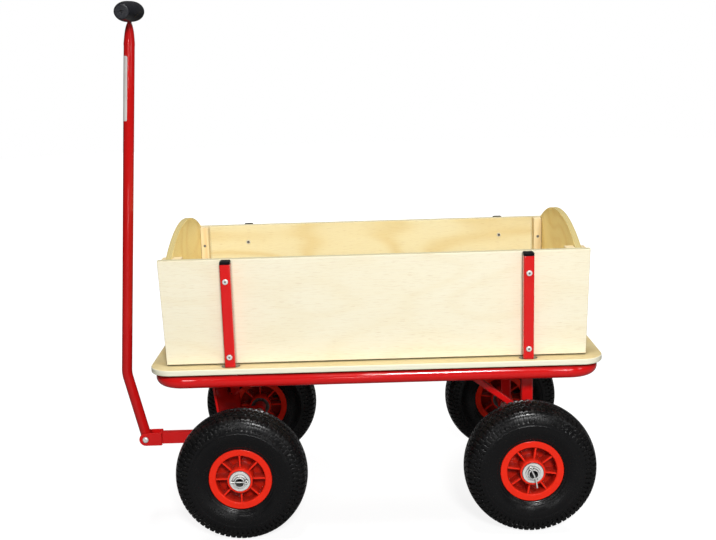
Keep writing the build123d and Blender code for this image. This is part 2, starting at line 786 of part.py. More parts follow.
# Each lift-out side: panel, stakes with caps and bolts, and the battens that hold the end boards
inner_batten_middle = board_outer_face - board_thickness - board_play - batten_width / 2
outer_batten_face = board_outer_face + board_play
outer_batten_width = panel_foot_half_length - outer_batten_face
outer_batten_middle = outer_batten_face + outer_batten_width / 2
batten_xs = [box_x + e * d for e in (-1, 1) for d in (inner_batten_middle, outer_batten_middle)]
bolt_places = [(x, z) for x in stake_xs for z in stake_bolt_heights]
for side_name, s in both_sides:
    outward = (0, s, 0)
    inward = (0, -s, 0)
    bolt_planes = [Plane(origin=(x, s * stake_outer_y, z), z_dir=outward) for x, z in bolt_places]
    nut_planes = [Plane(origin=(x, s * panel_inner_y, z), z_dir=inward) for x, z in bolt_places]

    with BuildPart() as stake_bolts:
        with Locations(*bolt_planes):
            Cylinder(button_head_radius, button_head_height, align=standing)
            Cylinder(stake_bolt_radius, stake_size + panel_thickness - stake_bolt_short, align=hanging)
        head_faces = stake_bolts.faces().filter_by(Axis.Y).group_by(Axis.Y)[-1 if s > 0 else 0]
        fillet(head_faces.edges(), button_head_round)
        with BuildSketch(*[plane.offset(button_head_height) for plane in bolt_planes]):
            RegularPolygon(button_socket_half, 6, major_radius=False)
        extrude(amount=-button_socket_depth, mode=Mode.SUBTRACT)
        with BuildSketch(*[plane.offset(sleeve_nut_proud) for plane in nut_planes]):
            Circle(sleeve_nut_radius)
            Circle(stake_bolt_radius + thread_clearance, mode=Mode.SUBTRACT)
        extrude(amount=-sleeve_nut_depth)
    save(stake_bolts, f"side_{side_name}_stake_bolts")

    with BuildPart() as batten_screws:
        screw_points = [(x, s * batten_inner_y, z) for x in batten_xs for z in batten_screw_heights]
        countersunk_screws(screw_points, inward, batten_screw_head_radius, batten_screw_length)
    save(batten_screws, f"side_{side_name}_batten_screws")

    with BuildPart() as panel:
        head_half_length = panel_foot_half_length + panel_end_flare
        with BuildSketch(Plane.XZ.offset(-s * (box_half_width - panel_thickness / 2))):
            Polygon(
                (box_x - panel_foot_half_length, panel_bottom),
                (box_x + panel_foot_half_length, panel_bottom),
                (box_x + head_half_length, panel_top),
                (box_x - head_half_length, panel_top),
                align=None,
            )
        extrude(amount=panel_thickness / 2, both=True)
        fillet(panel.faces().filter_by(Axis.Y).edges(), edge_round)
        with Locations(*bolt_planes):
            Cylinder(stake_bolt_radius, 2 * (stake_size + panel_thickness), mode=Mode.SUBTRACT)
        with Locations(*nut_planes):
            nut_hole_depth = sleeve_nut_depth - sleeve_nut_proud
            Cylinder(sleeve_nut_radius, nut_hole_depth, align=hanging, mode=Mode.SUBTRACT)
        add(batten_screws.part, mode=Mode.SUBTRACT)
    save(panel, f"side_{side_name}_panel")

    with BuildPart() as stakes:
        with BuildSketch(Plane.XY.offset(deck_bottom)):
            with Locations(*[(x, s * stake_y) for x in stake_xs]):
                RectangleRounded(stake_size, stake_size, stake_corner)
                Rectangle(stake_size - 2 * stake_wall, stake_size - 2 * stake_wall, mode=Mode.SUBTRACT)
        extrude(amount=stake_top - deck_bottom)
        with Locations(*bolt_planes):
            Cylinder(stake_bolt_radius, 3 * stake_size, mode=Mode.SUBTRACT)
    save(stakes, f"side_{side_name}_stakes")

    with BuildPart() as stake_caps:
        insert_size = stake_size - 2 * stake_wall
        with BuildSketch(Plane.XY.offset(stake_top)):
            with Locations(*[(x, s * stake_y) for x in stake_xs]):
                RectangleRounded(stake_size, stake_size, stake_corner)
        extrude(amount=stake_cap_height)
        with Locations(*[(x, s * stake_y, stake_top) for x in stake_xs]):
            Box(insert_size, insert_size, 2 * stake_cap_height, align=hanging)
        chamfer(stake_caps.faces().group_by(Axis.Z)[-1].edges(), edge_round)
    save(stake_caps, f"side_{side_name}_stake_caps")

    with BuildPart() as battens:
        batten_y = s * (panel_inner_y - batten_depth / 2)
        with Locations(*[(box_x + e * inner_batten_middle, batten_y, panel_bottom) for e in (-1, 1)]):
            Box(batten_width, batten_depth, panel_height, align=standing)
        with Locations(*[(box_x + e * outer_batten_middle, batten_y, panel_bottom) for e in (-1, 1)]):
            Box(outer_batten_width, batten_depth, panel_height, align=standing)
        inner_faces = battens.faces().filter_by(Axis.Y).group_by(Axis.Y)[0 if s > 0 else -1]
        fillet(inner_faces.edges(), edge_round / 2)
        add(batten_screws.part, mode=Mode.SUBTRACT)
    save(battens, f"side_{side_name}_battens")

# End boards with arched tops, which slide down between the battens
board_half_width = panel_inner_y - board_play
board_middle = board_outer_face - board_thickness / 2
for name, e in (("front_board", -1), ("rear_board", 1)):
    with BuildPart() as board:
        with BuildSketch(Plane.YZ.offset(box_x + e * board_middle)):
            with BuildLine():
                Polyline(
                    (-board_half_width, panel_top),
                    (-board_half_width, deck_top),
                    (board_half_width, deck_top),
                    (board_half_width, panel_top),
                )
                ThreePointArc(
                    (board_half_width, panel_top),
                    (0, panel_top + board_arch_rise),
                    (-board_half_width, panel_top),
                )
            make_face()
        extrude(amount=board_thickness / 2, both=True)
        fillet(board.faces().filter_by(Axis.X).edges().filter_by(GeomType.CIRCLE), edge_round)
    save(board, name)
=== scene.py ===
"""Looks of a wooden pull wagon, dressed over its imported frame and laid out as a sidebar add-on.

Metres, +Z up, floor at Z 0. -X is the front, where the handle is, and -Y is the left side.
"""

from math import atan2, cos, exp, hypot, pi, radians, sin, sqrt, tan

import bmesh
import bpy
from bpy.props import FloatProperty, FloatVectorProperty, IntProperty, PointerProperty
from bpy.types import NodeSocket, Operator, Panel, PropertyGroup
from mathutils import Matrix, Vector


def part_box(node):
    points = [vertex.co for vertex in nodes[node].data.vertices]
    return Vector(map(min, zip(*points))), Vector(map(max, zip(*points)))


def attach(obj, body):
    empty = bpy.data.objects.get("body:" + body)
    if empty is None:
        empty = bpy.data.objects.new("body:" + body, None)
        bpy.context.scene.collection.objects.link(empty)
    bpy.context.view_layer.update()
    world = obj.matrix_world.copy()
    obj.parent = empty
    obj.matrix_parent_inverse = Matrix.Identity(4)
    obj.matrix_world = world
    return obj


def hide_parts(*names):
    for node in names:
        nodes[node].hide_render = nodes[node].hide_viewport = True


bl_info = {
    "name": "Wooden pull wagon",
    "version": (1, 0, 0),
    "blender": (4, 5, 0),
    "location": "3D View > Sidebar > Wagon",
    "description": "Dresses the wagon's frame in veneer, red enamel, rubber and zinc",
    "category": "Object",
}

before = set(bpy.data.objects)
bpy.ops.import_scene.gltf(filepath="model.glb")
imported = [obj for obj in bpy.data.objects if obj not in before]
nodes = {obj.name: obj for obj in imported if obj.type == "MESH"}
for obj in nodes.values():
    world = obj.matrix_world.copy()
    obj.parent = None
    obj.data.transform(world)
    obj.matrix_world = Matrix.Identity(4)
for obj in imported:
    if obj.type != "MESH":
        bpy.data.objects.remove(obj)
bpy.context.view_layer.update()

MM = 0.001
FULL_TURN = 2.0 * pi
WHITE = (1.0, 1.0, 1.0)
ENDS = ("front", "rear")
SIDES = ("left", "right")
WHEELS = tuple(f"wheel_{end}_{side}" for end in ENDS for side in SIDES)

# Sizes of the steelwork that the welds and the strip follow
POLE_RADIUS = 11.0 * MM
POLE_LEAN = radians(4.75)
FORK_PLATE = 4.0 * MM
BRACE_HALF = 5.7 * MM
BRACE_FOOT_TALL = 14.25 * MM
BRACE_HEAD_LONG = 19.0 * MM


def colour(name, description, default):
    return FloatVectorProperty(
        name=name, description=description, subtype="COLOR", size=3, min=0.0, max=1.0, default=default
    )


def length(name, description, default):
    return FloatProperty(name=name, description=description, default=default, unit="LENGTH", precision=4)


def share(name, description, default):
    return FloatProperty(name=name, description=description, default=default, min=0.0, max=1.0)


def watts(name, description, default):
    return FloatProperty(name=name, description=description, default=default, subtype="POWER")


class WagonWood(PropertyGroup):
    outer_veneer: colour("Outer veneer", "Outside of the side panels", (0.97, 0.91, 0.71))
    # The inner veneer is darker and yellower than the outer: painted shade and painted warm bounce light
    # inside the box.
    inner_veneer: colour("Inner veneer", "Inside of the side panels", (0.83, 0.76, 0.5))
    board_veneer: colour("Board veneer", "Both faces of the arched end boards", (0.98, 0.8, 0.35))
    deck_veneer: colour("Deck veneer", "Top and underside of the deck", (0.79, 0.67, 0.38))
    pine: colour("Pine", "Battens that hold the end boards", (0.86, 0.73, 0.47))
    ply_sheet: length("Ply sheet", "Thickness of one sheet in the plywood", 0.0015)


class WagonPaint(PropertyGroup):
    enamel: colour("Enamel", "Red of the steel tubes and plates", (0.76, 0.01, 0.01))
    rim: colour("Rim", "Orange red of the moulded rims", (0.97, 0.027, 0.009))
    weld_bead: length("Weld bead", "Half width of a weld", 0.0019)
    weld_step: length("Weld step", "Distance from one ripple of a weld to the next", 0.0024)


class WagonTyres(PropertyGroup):
    rubber: colour("Rubber", "Black of the tyres and the air tubes", (0.005, 0.005, 0.0054))
    pairs: IntProperty(name="Lug pairs", description="Pairs of tread lugs round one tyre", default=35, min=6)
    groove: length("Groove", "Depth of the tread at the crown", 0.003)
    lug_foot: length("Lug foot", "Radius where the shoulder lugs run out into the side", 0.103)


class WagonHardware(PropertyGroup):
    zinc: colour("Zinc", "Plated bolts, pins, washers, axles and screws", (0.92, 0.92, 0.89))
    steel: colour("Steel", "Rings of the wheel bearings", (0.2, 0.2, 0.2))
    nylon: colour("Nylon", "Disc that the steering turns on", (0.75, 0.74, 0.68))
    deck_head: length("Deck screw head", "Head radius of the deck screws", 0.0045)
    batten_head: length("Batten screw head", "Head radius of the batten screws", 0.0032)


class WagonHandle(PropertyGroup):
    plastic: colour("Plastic", "Black of the grip; the stake caps are darker", (0.013, 0.0135, 0.018))
    # The pole's red is a darker copy of the tubes' enamel: painted shade.
    pole_shade: share("Pole shade", "Red of the pole against the other tubes", 0.78)
    strip: colour("Strip", "Pale blank strip on the pole", (0.78, 0.74, 0.71))
    strip_low: length("Strip foot", "Height of the strip's lower edge", 0.813)
    strip_high: length("Strip head", "Height of the strip's upper edge", 0.943)


class WagonStage(PropertyGroup):
    floor: colour("Floor", "Grey floor that glows white to the camera", (0.22, 0.22, 0.22))
    sky: share("Sky", "Strength of the even light from all round", 0.03)
    gleam: share("Gleam", "Strength of the surround in reflections", 0.05)
    main: watts("Main", "Power of the lamp above the camera", 124.0)
    top: watts("Top", "Power of the lamp overhead", 30.0)
    right: watts("Right", "Power of the strip lamp on the right", 2.5)
    left: watts("Left", "Power of the strip lamp on the left", 2.0)
    side: watts("Side", "Power of the lamp far to the right", 1.5)
    ends: watts("Ends", "Power of each lamp behind the ends", 25.0)
    low: watts("Low", "Power of the low lamp in front", 1.0)
    eye: FloatVectorProperty(
        name="Eye", description="Where the camera stands", subtype="TRANSLATION",
        default=(0.0325, -2.0896, 0.9293),
    )
    lens: FloatProperty(
        name="Lens", description="Focal length for a 36 mm wide picture", default=50.88, unit="CAMERA"
    )


def feed(tree, socket, value):
    """Joins a socket to another, or sets its constant."""
    if isinstance(value, NodeSocket):
        tree.links.new(value, socket)
    elif socket.type == "RGBA" and len(value) == 3:
        socket.default_value = (*value, 1.0)
    else:
        socket.default_value = value


def add(tree, kind, inputs=None, **settings):
    made = tree.nodes.new(kind)
    for name, value in settings.items():
        setattr(made, name, value)
    for name, value in (inputs or {}).items():
        feed(tree, made.inputs[name], value)
    return made


def sum_up(tree, operation, first, second=0.0, third=0.0):
    """One arithmetic step; returns its value."""
    made = add(tree, "ShaderNodeMath", {0: first, 1: second, 2: third}, operation=operation)
    return made.outputs[0]


def times(tree, first, second):
    return sum_up(tree, "MULTIPLY", first, second)


def slope(tree, value, gain, start):
    """Start plus gain times the value."""
    return sum_up(tree, "MULTIPLY_ADD", value, gain, start)


def ramp(tree, value, low, high, low_out=0.0, high_out=1.0):
    """Smooth step of a value from low to high."""
    made = add(tree, "ShaderNodeMapRange", interpolation_type="SMOOTHSTEP")
    for socket, given in zip(made.inputs, (value, low, high, low_out, high_out)):
        feed(tree, socket, given)
    return made.outputs[0]


def tint(tree, mask, first, second, mode="MIX"):
    """A colour between two others."""
    made = add(tree, "ShaderNodeMix", data_type="RGBA", blend_type=mode)
    for index, given in ((0, mask), (6, first), (7, second)):
        feed(tree, made.inputs[index], given)
    return made.outputs[2]


def stain(tree, mask, base, shade):
    """A colour darkened by another where the mask is."""
    return tint(tree, mask, base, shade, "MULTIPLY")


def split(tree, vector):
    return tuple(add(tree, "ShaderNodeSeparateXYZ", {0: vector}).outputs)


def join(tree, x, y, z):
    return add(tree, "ShaderNodeCombineXYZ", {0: x, 1: y, 2: z}).outputs[0]


def stretch(tree, vector, scale):
    made = add(tree, "ShaderNodeVectorMath", {0: vector, 1: scale}, operation="MULTIPLY")
    return made.outputs[0]


def noise(tree, vector, scale, detail=2.0, rough=0.5):
    inputs = {"Vector": vector, "Scale": scale, "Detail": detail, "Roughness": rough}
    return add(tree, "ShaderNodeTexNoise", inputs).outputs["Fac"]


# Kinds of the sockets that are not plain numbers
SOCKET_KINDS = {
    "Vector": "Vector", "Facing": "Vector", "Normal": "Vector", "Outward": "Vector", "Geometry": "Geometry",
    "Material": "Material", "Slices": "Int", "Screw": "Object",
}


def new_tree(kind, name, inputs, outputs):
    """An empty node tree with its sockets; returns the tree, what comes in and what goes out."""
    tree = bpy.data.node_groups.new(name, f"{kind}NodeTree")
    for labels, way in ((inputs, "INPUT"), (outputs, "OUTPUT")):
        for label in labels:
            socket = f"NodeSocket{SOCKET_KINDS.get(label, 'Float')}"
            tree.interface.new_socket(label, in_out=way, socket_type=socket)
    return tree, tree.nodes.new("NodeGroupInput").outputs, tree.nodes.new("NodeGroupOutput").inputs


def wood_figure():
    """Peeled veneer: long contour loops, fine fibres and short pores, with the grain along the vector's X."""
    group, given, result = new_tree(
        "Shader", "wood_figure", ("Vector", "Loops", "Reach"), ("Figure", "Fibre", "Pores")
    )
    hill_scale, fibre_scale, pore_scale = (1.0, 7.0, 7.0), (22.0, 620.0, 620.0), (60.0, 1900.0, 1900.0)
    x, y, z = split(group, given["Vector"])
    eased = join(group, sum_up(group, "DIVIDE", x, given["Reach"]), y, z)
    hills = noise(group, stretch(group, eased, hill_scale), 1.0, 1.5, 0.45)
    fibre = noise(group, stretch(group, given["Vector"], fibre_scale), 1.0, 2.0, 0.6)
    frayed = slope(group, fibre, 0.012, hills)
    wave = sum_up(group, "SINE", times(group, times(group, frayed, given["Loops"]), FULL_TURN))
    feed(group, result["Figure"], sum_up(group, "POWER", slope(group, wave, 0.5, 0.5), 2.2))
    feed(group, result["Fibre"], fibre)
    dashes = noise(group, stretch(group, given["Vector"], pore_scale), 1.0, 0.0)
    feed(group, result["Pores"], ramp(group, dashes, 0.66, 0.78))
    return group


def ply_layers():
    """Cross-laid sheets in the edge of a ply board, and the dark glue lines between them."""
    group, given, result = new_tree(
        "Shader", "ply_layers", ("Depth", "Sheet", "Ragged"), ("Sheet Tone", "Glue")
    )
    uneven = slope(group, given["Ragged"], 0.35, sum_up(group, "DIVIDE", given["Depth"], given["Sheet"]))
    place = sum_up(group, "PINGPONG", uneven, 1.0)
    feed(group, result["Sheet Tone"], ramp(group, place, 0.38, 0.62))
    off_line = sum_up(group, "ABSOLUTE", sum_up(group, "SUBTRACT", place, 0.5))
    feed(group, result["Glue"], ramp(group, off_line, 0.0, 0.14, 1.0, 0.0))
    return group


def eased_edge():
    """Rounds sharp edges in the shading, and marks them."""
    group, given, result = new_tree("Shader", "eased_edge", ("Radius",), ("Normal", "Edge"))
    eased = add(group, "ShaderNodeBevel", {"Radius": given["Radius"]}, samples=6).outputs[0]
    flat = add(group, "ShaderNodeNewGeometry").outputs["Normal"]
    meet = add(group, "ShaderNodeVectorMath", {0: eased, 1: flat}, operation="DOT_PRODUCT")
    feed(group, result["Normal"], eased)
    feed(group, result["Edge"], ramp(group, meet.outputs["Value"], 0.8, 0.995, 1.0, 0.0))
    return group


def handling():
    """Soft blotches, fine specks and the grain of a surface that has been handled."""
    group, given, result = new_tree("Shader", "handling", ("Vector", "Size"), ("Blotch", "Speck", "Grain"))
    place, specks_per_blotch, grain_scale = given["Vector"], 14.0, 1400.0
    scale = sum_up(group, "DIVIDE", 1.0, given["Size"])
    feed(group, result["Blotch"], ramp(group, noise(group, place, scale, 4.0, 0.6), 0.32, 0.7))
    fine = noise(group, place, times(group, scale, specks_per_blotch))
    feed(group, result["Speck"], ramp(group, fine, 0.62, 0.74))
    feed(group, result["Grain"], noise(group, place, grain_scale, 1.0))
    return group


def painted_crevice_shade():
    """Marks sockets, bores and narrow gaps that are shut in, where the finishes paint shade."""
    group, given, result = new_tree("Shader", "painted_crevice_shade", ("Reach",), ("Painted Shade",))
    open_sky = add(group, "ShaderNodeAmbientOcclusion", {"Distance": given["Reach"]}, samples=8)
    feed(group, result["Painted Shade"], ramp(group, open_sky.outputs["AO"], 0.3, 0.8, 1.0, 0.0))
    return group


def settled_dust():
    """Thin dust that gathers on faces that look up."""
    group, given, result = new_tree("Shader", "settled_dust", ("Vector", "Facing"), ("Dust",))
    up = ramp(group, split(group, given["Facing"])[2], 0.2, 0.95)
    cloud = ramp(group, noise(group, given["Vector"], 38.0, 5.0, 0.65), 0.35, 0.75)
    feed(group, result["Dust"], times(group, up, cloud))
    return group


def use(tree, maker, **inputs):
    """Places a shared shader group, which is named after its maker and made the first time."""
    group = bpy.data.node_groups.get(maker.__name__) or maker()
    return add(tree, "ShaderNodeGroup", inputs, node_tree=group).outputs


def new_finish(name, **constants):
    """An empty finish; returns it with its tree, its shader, and the object's coordinates and facing."""
    finish = bpy.data.materials.new(name)
    finish.use_nodes = True
    tree = finish.node_tree
    tree.nodes.clear()
    shader = add(tree, "ShaderNodeBsdfPrincipled")
    for label, value in constants.items():
        shader.inputs[label.replace("_", " ")].default_value = value
    tree.links.new(shader.outputs[0], add(tree, "ShaderNodeOutputMaterial").inputs[0])
    place = add(tree, "ShaderNodeTexCoord").outputs
    return finish, tree, shader, place["Object"], place["Normal"]


def wear(tree, place, size, radius, gap):
    """Signs of handling, eased edges, and the mask for painted shade in shut gaps, for a finish."""
    worn = use(tree, handling, Vector=place, Size=size)
    edge = use(tree, eased_edge, Radius=radius)
    return worn, edge, use(tree, painted_crevice_shade, Reach=gap)["Painted Shade"]


def complete(tree, shader, base, rough, height, distance, strength, normal):
    """Joins the colour, roughness and relief of a finish to its shader."""
    relief = {"Height": height, "Distance": distance, "Strength": strength, "Normal": normal}
    bump = add(tree, "ShaderNodeBump", relief).outputs[0]
    for label, value in (("Base Color", base), ("Roughness", rough), ("Normal", bump)):
        feed(tree, shader.inputs[label], value)


def dress(finish, *names):
    """Gives CAD nodes a finish in all their material slots."""
    for name in names:
        for slot in nodes[name].material_slots:
            slot.material = finish


def shaded(shade, by):
    """A colour made darker, or paler where by is over one."""
    return tuple(min(1.0, channel * by) for channel in shade)


def ply_finish(name, axes, middle, inner, outer, core, sheet, loops=7.0, reach=0.8, figure=0.3, gap=8.0 * MM):
    """Varnished plywood.

    Axes are the letters along the grain, across it and through the board. The inner face looks to middle.
    """
    finish, tree, shader, place, facing = new_finish(
        name, Coat_Weight=0.04, Coat_Roughness=0.28, Specular_IOR_Level=0.25
    )
    at, looks = split(tree, place), split(tree, facing)
    along, across, through = ("XYZ".index(letter) for letter in axes)
    grain = join(tree, at[along], at[across], at[through])
    wood = use(tree, wood_figure, Vector=grain, Loops=loops, Reach=reach)
    layers = use(tree, ply_layers, Depth=at[through], Sheet=sheet, Ragged=wood["Fibre"])
    worn, edge, shade_mask = wear(tree, place, 0.16, 1.2 * MM, gap)

    way_in = sum_up(tree, "SIGN", sum_up(tree, "SUBTRACT", middle, at[through]))
    inward = ramp(tree, times(tree, way_in, looks[through]), -0.3, 0.3)
    on_face = ramp(tree, sum_up(tree, "ABSOLUTE", looks[through]), 0.55, 0.85)

    outer_share = 0.2
    loop_stain, blotch_stain = (0.9, 0.8, 0.6), (0.98, 0.95, 0.88)
    pore_stain, fibre_stain, glue_stain = (0.6, 0.42, 0.24), (0.93, 0.86, 0.72), (0.5, 0.34, 0.2)
    drawn = ramp(tree, inward, 0.0, 1.0, outer_share * figure, figure)
    # Inner faces take the inner colour, which for the panels paints the shade and warm bounce light inside
    # the box.
    veneer = tint(tree, inward, outer, inner)
    veneer = stain(tree, times(tree, wood["Figure"], drawn), veneer, loop_stain)
    veneer = stain(tree, times(tree, worn["Blotch"], 0.35), veneer, blotch_stain)
    veneer = stain(tree, times(tree, wood["Pores"], 0.3), veneer, pore_stain)
    veneer = stain(tree, ramp(tree, wood["Fibre"], 0.3, 0.75, 0.0, 0.2), veneer, fibre_stain)
    cut = tint(tree, layers["Sheet Tone"], shaded(core, 1.06), shaded(core, 0.92))
    cut = stain(tree, times(tree, layers["Glue"], 0.3), cut, glue_stain)
    bare = tint(tree, on_face, cut, veneer)
    # Painted shade: darkens the wood in shut gaps, such as along the panels' feet and in the stake slots.
    bare = tint(tree, times(tree, shade_mask, 0.7), bare, shaded(inner, 0.3))
    bare = tint(tree, times(tree, edge["Edge"], 0.25), bare, outer)
    rough = slope(tree, worn["Blotch"], 0.1, slope(tree, wood["Fibre"], 0.12, 0.36))
    height = sum_up(tree, "SUBTRACT", wood["Fibre"], wood["Pores"])
    complete(tree, shader, bare, rough, height, 0.12 * MM, 0.5, edge["Normal"])
    return finish


def pine_finish(name, shade):
    """Straight-grained pine, with the grain upright."""
    finish, tree, shader, place, _ = new_finish(
        name, Coat_Weight=0.04, Coat_Roughness=0.3, Specular_IOR_Level=0.25
    )
    late_wood, fibre_stain = (0.84, 0.66, 0.42), (0.9, 0.8, 0.64)
    x, y, z = split(tree, place)
    wood = use(tree, wood_figure, Vector=join(tree, z, x, y), Loops=26.0, Reach=2.0)
    edge = use(tree, eased_edge, Radius=1.2 * MM)
    base = stain(tree, times(tree, wood["Figure"], 0.4), shade, late_wood)
    base = stain(tree, ramp(tree, wood["Fibre"], 0.3, 0.75, 0.0, 0.25), base, fibre_stain)
    rough = slope(tree, wood["Fibre"], 0.18, 0.34)
    complete(tree, shader, base, rough, wood["Fibre"], 0.15 * MM, 0.5, edge["Normal"])
    return finish


def enamel_finish(name, shade):
    """Gloss powder coat on steel: orange peel, thin dust on top, eased edges and painted shade in crevices.
    """
    finish, tree, shader, place, facing = new_finish(name, Specular_IOR_Level=0.5)
    dulled, thin_coat, dusty, peel_scale = (0.86, 0.8, 0.8), (0.86, 0.09, 0.07), (0.8, 0.7, 0.6), 800.0
    worn, edge, shade_mask = wear(tree, place, 0.05, 1.4 * MM, 12.0 * MM)
    dust = use(tree, settled_dust, Vector=place, Facing=facing)["Dust"]
    base = stain(tree, times(tree, worn["Blotch"], 0.3), shade, dulled)
    # Painted shade in crevices, such as the slots round the stakes' feet.
    base = tint(tree, times(tree, shade_mask, 0.8), base, shaded(shade, 0.12))
    base = tint(tree, times(tree, edge["Edge"], 0.2), base, thin_coat)
    base = tint(tree, times(tree, dust, 0.02), base, dusty)
    rough = slope(tree, dust, 0.12, slope(tree, worn["Blotch"], 0.04, 0.08))
    peel = noise(tree, place, peel_scale, 1.0)
    complete(tree, shader, base, rough, peel, 0.15 * MM, 0.08, edge["Normal"])
    return finish


def moulded_finish(name, shade, rough, grain_depth, size=0.03, shine=0.2, gap=5.0 * MM):
    """Moulded plastic or rubber with a fine skin, slight blotches, scuffed edges and painted shade in
    recesses.
    """
    finish, tree, shader, place, facing = new_finish(name, Specular_IOR_Level=shine)
    dulled, dusty, scuffed = (0.84, 0.8, 0.8), (0.55, 0.5, 0.44), (0.6, 0.55, 0.5)
    worn, edge, shade_mask = wear(tree, place, size, 0.8 * MM, gap)
    dust = use(tree, settled_dust, Vector=place, Facing=facing)["Dust"]
    base = stain(tree, times(tree, worn["Blotch"], 0.4), shade, dulled)
    # Painted shade: darker where the surface is shut in.
    base = tint(tree, times(tree, shade_mask, 0.7), base, shaded(shade, 0.2))
    base = tint(tree, times(tree, dust, 0.035), base, dusty)
    base = tint(tree, times(tree, times(tree, worn["Speck"], edge["Edge"]), 0.35), base, scuffed)
    rough = slope(tree, worn["Blotch"], 0.12, rough)
    complete(tree, shader, base, rough, worn["Grain"], grain_depth, 0.4, edge["Normal"])
    return finish


def plated_finish(name, shade, rough):
    """Bright plating with faint spangle, duller specks and painted shade in its bores and sockets."""
    finish, tree, shader, place, _ = new_finish(name)
    spangle, speck, bore_shade = (0.8, 0.8, 0.82), (0.7, 0.7, 0.68), (0.02, 0.018, 0.015)
    worn, edge, shade_mask = wear(tree, place, 0.012, 0.5 * MM, 20.0 * MM)
    base = stain(tree, times(tree, worn["Blotch"], 0.5), shade, spangle)
    base = tint(tree, worn["Speck"], base, speck)
    # Painted shade: darkens bores, sockets and the rings round the axle ends.
    base = tint(tree, times(tree, ramp(tree, shade_mask, 0.02, 0.3), 0.85), base, bore_shade)
    feed(tree, shader.inputs["Metallic"], slope(tree, worn["Speck"], -0.15, 0.25))
    rough = slope(tree, worn["Blotch"], 0.14, rough)
    complete(tree, shader, base, rough, worn["Grain"], 0.08 * MM, 0.3, edge["Normal"])
    return finish


def finish_once(name, maker, *values):
    """A finish that several operators share."""
    return bpy.data.materials.get(name) or maker(name, *values)


def enamel(scene):
    return finish_once("red_enamel", enamel_finish, scene.wagon_paint.enamel)


def zinc(scene):
    return finish_once("zinc_plate", plated_finish, scene.wagon_hardware.zinc, 0.24)


def piece_from(name, data):
    """An object in the scene, at the origin, from a mesh, a lamp or a camera."""
    made = bpy.data.objects.new(name, data)
    bpy.context.scene.collection.objects.link(made)
    return made


def mesh_from(work, name):
    """A mesh from an edit mesh, which is freed."""
    mesh = bpy.data.meshes.new(name)
    work.to_mesh(mesh)
    work.free()
    return mesh


def close_up(mesh, merge, crease):
    """Merges doubles, turns faces outward and keeps edges sharp that fold by more than crease degrees."""
    work = bmesh.new()
    work.from_mesh(mesh)
    bmesh.ops.remove_doubles(work, verts=work.verts, dist=merge)
    bmesh.ops.recalc_face_normals(work, faces=work.faces)
    for face in work.faces:
        face.smooth = True
    for edge in work.edges:
        edge.smooth = len(edge.link_faces) == 2 and edge.calc_face_angle(pi) < radians(crease)
    work.to_mesh(mesh)
    work.free()
    mesh.update()


def lines_mesh(name, loops):
    """A mesh of lines only; a loop that ends where it starts is closed."""
    points, edges = [], []
    for loop in loops:
        start = len(points)
        points += loop
        edges += [(start + k, start + k + 1) for k in range(len(loop) - 1)]
    mesh = bpy.data.meshes.new(name)
    mesh.from_pydata(points, edges, [])
    return mesh


def corners(points):
    """Lowest and highest corner of the box round some points."""
    return tuple(Vector(pick(p[k] for p in points) for k in range(3)) for pick in (min, max))


def middle_of(name):
    low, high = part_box(name)
    return (low + high) / 2.0


def end_tree(tree, given, result, inputs):
    """Sets instances on points, makes them real and gives them the tree's material."""
    spread = add(tree, "GeometryNodeInstanceOnPoints", inputs)
    real = add(tree, "GeometryNodeRealizeInstances", {0: spread.outputs[0]}).outputs[0]
    coloured = add(tree, "GeometryNodeSetMaterial", {"Geometry": real, "Material": given["Material"]})
    feed(tree, result[0], coloured.outputs[0])
    return tree


def grow(name, mesh, tree, values):
    """Runs a geometry tree over a mesh and returns the result as a plain mesh."""
    host = piece_from(f"{name}_host", mesh)
    modifier = host.modifiers.new(tree.name, "NODES")
    modifier.node_group = tree
    sockets = {item.name: item.identifier for item in tree.interface.items_tree if item.in_out == "INPUT"}
    for label, value in values.items():
        modifier[sockets[label]] = value
    context = bpy.context.evaluated_depsgraph_get()
    made = bpy.data.meshes.new_from_object(host.evaluated_get(context), depsgraph=context)
    host.modifiers.remove(modifier)
    bpy.data.objects.remove(host)
    made.name = name
    return made


def round_tree():
    """Repeats a slice of tyre round the axle."""
    tree, given, result = new_tree(
        "Geometry", "tread_round", ("Geometry", "Slices", "Material"), ("Geometry",)
    )
    points = add(tree, "GeometryNodePoints", {"Count": given["Slices"]}).outputs[0]
    index = add(tree, "GeometryNodeInputIndex").outputs[0]
    angle = times(tree, index, sum_up(tree, "DIVIDE", FULL_TURN, given["Slices"]))
    turn = add(tree, "FunctionNodeEulerToRotation", {0: join(tree, 0.0, angle, 0.0)}).outputs[0]
    return end_tree(tree, given, result, {"Points": points, "Instance": given["Geometry"], "Rotation": turn})


def place_tree():
    """Puts one shape on every vertex, standing along a given direction."""
    tree, given, result = new_tree(
        "Geometry", "placed_screws", ("Geometry", "Screw", "Outward", "Material"), ("Geometry",)
    )
    up = (0.0, 0.0, 1.0)
    shape = add(tree, "GeometryNodeObjectInfo", {"Object": given["Screw"]}).outputs["Geometry"]
    stand = add(tree, "FunctionNodeAlignRotationToVector", {"Vector": given["Outward"]}, axis="Z")
    spin = add(tree, "FunctionNodeRandomValue", {2: 0.0, 3: FULL_TURN, "Seed": 7}, data_type="FLOAT")
    around = add(tree, "FunctionNodeAxisAngleToRotation", {"Axis": up, "Angle": spin.outputs[1]})
    turns = {0: stand.outputs[0], 1: around.outputs[0]}
    facing = add(tree, "FunctionNodeRotateRotation", turns, rotation_space="LOCAL").outputs[0]
    return end_tree(tree, given, result, {"Points": given["Geometry"], "Instance": shape, "Rotation": facing})


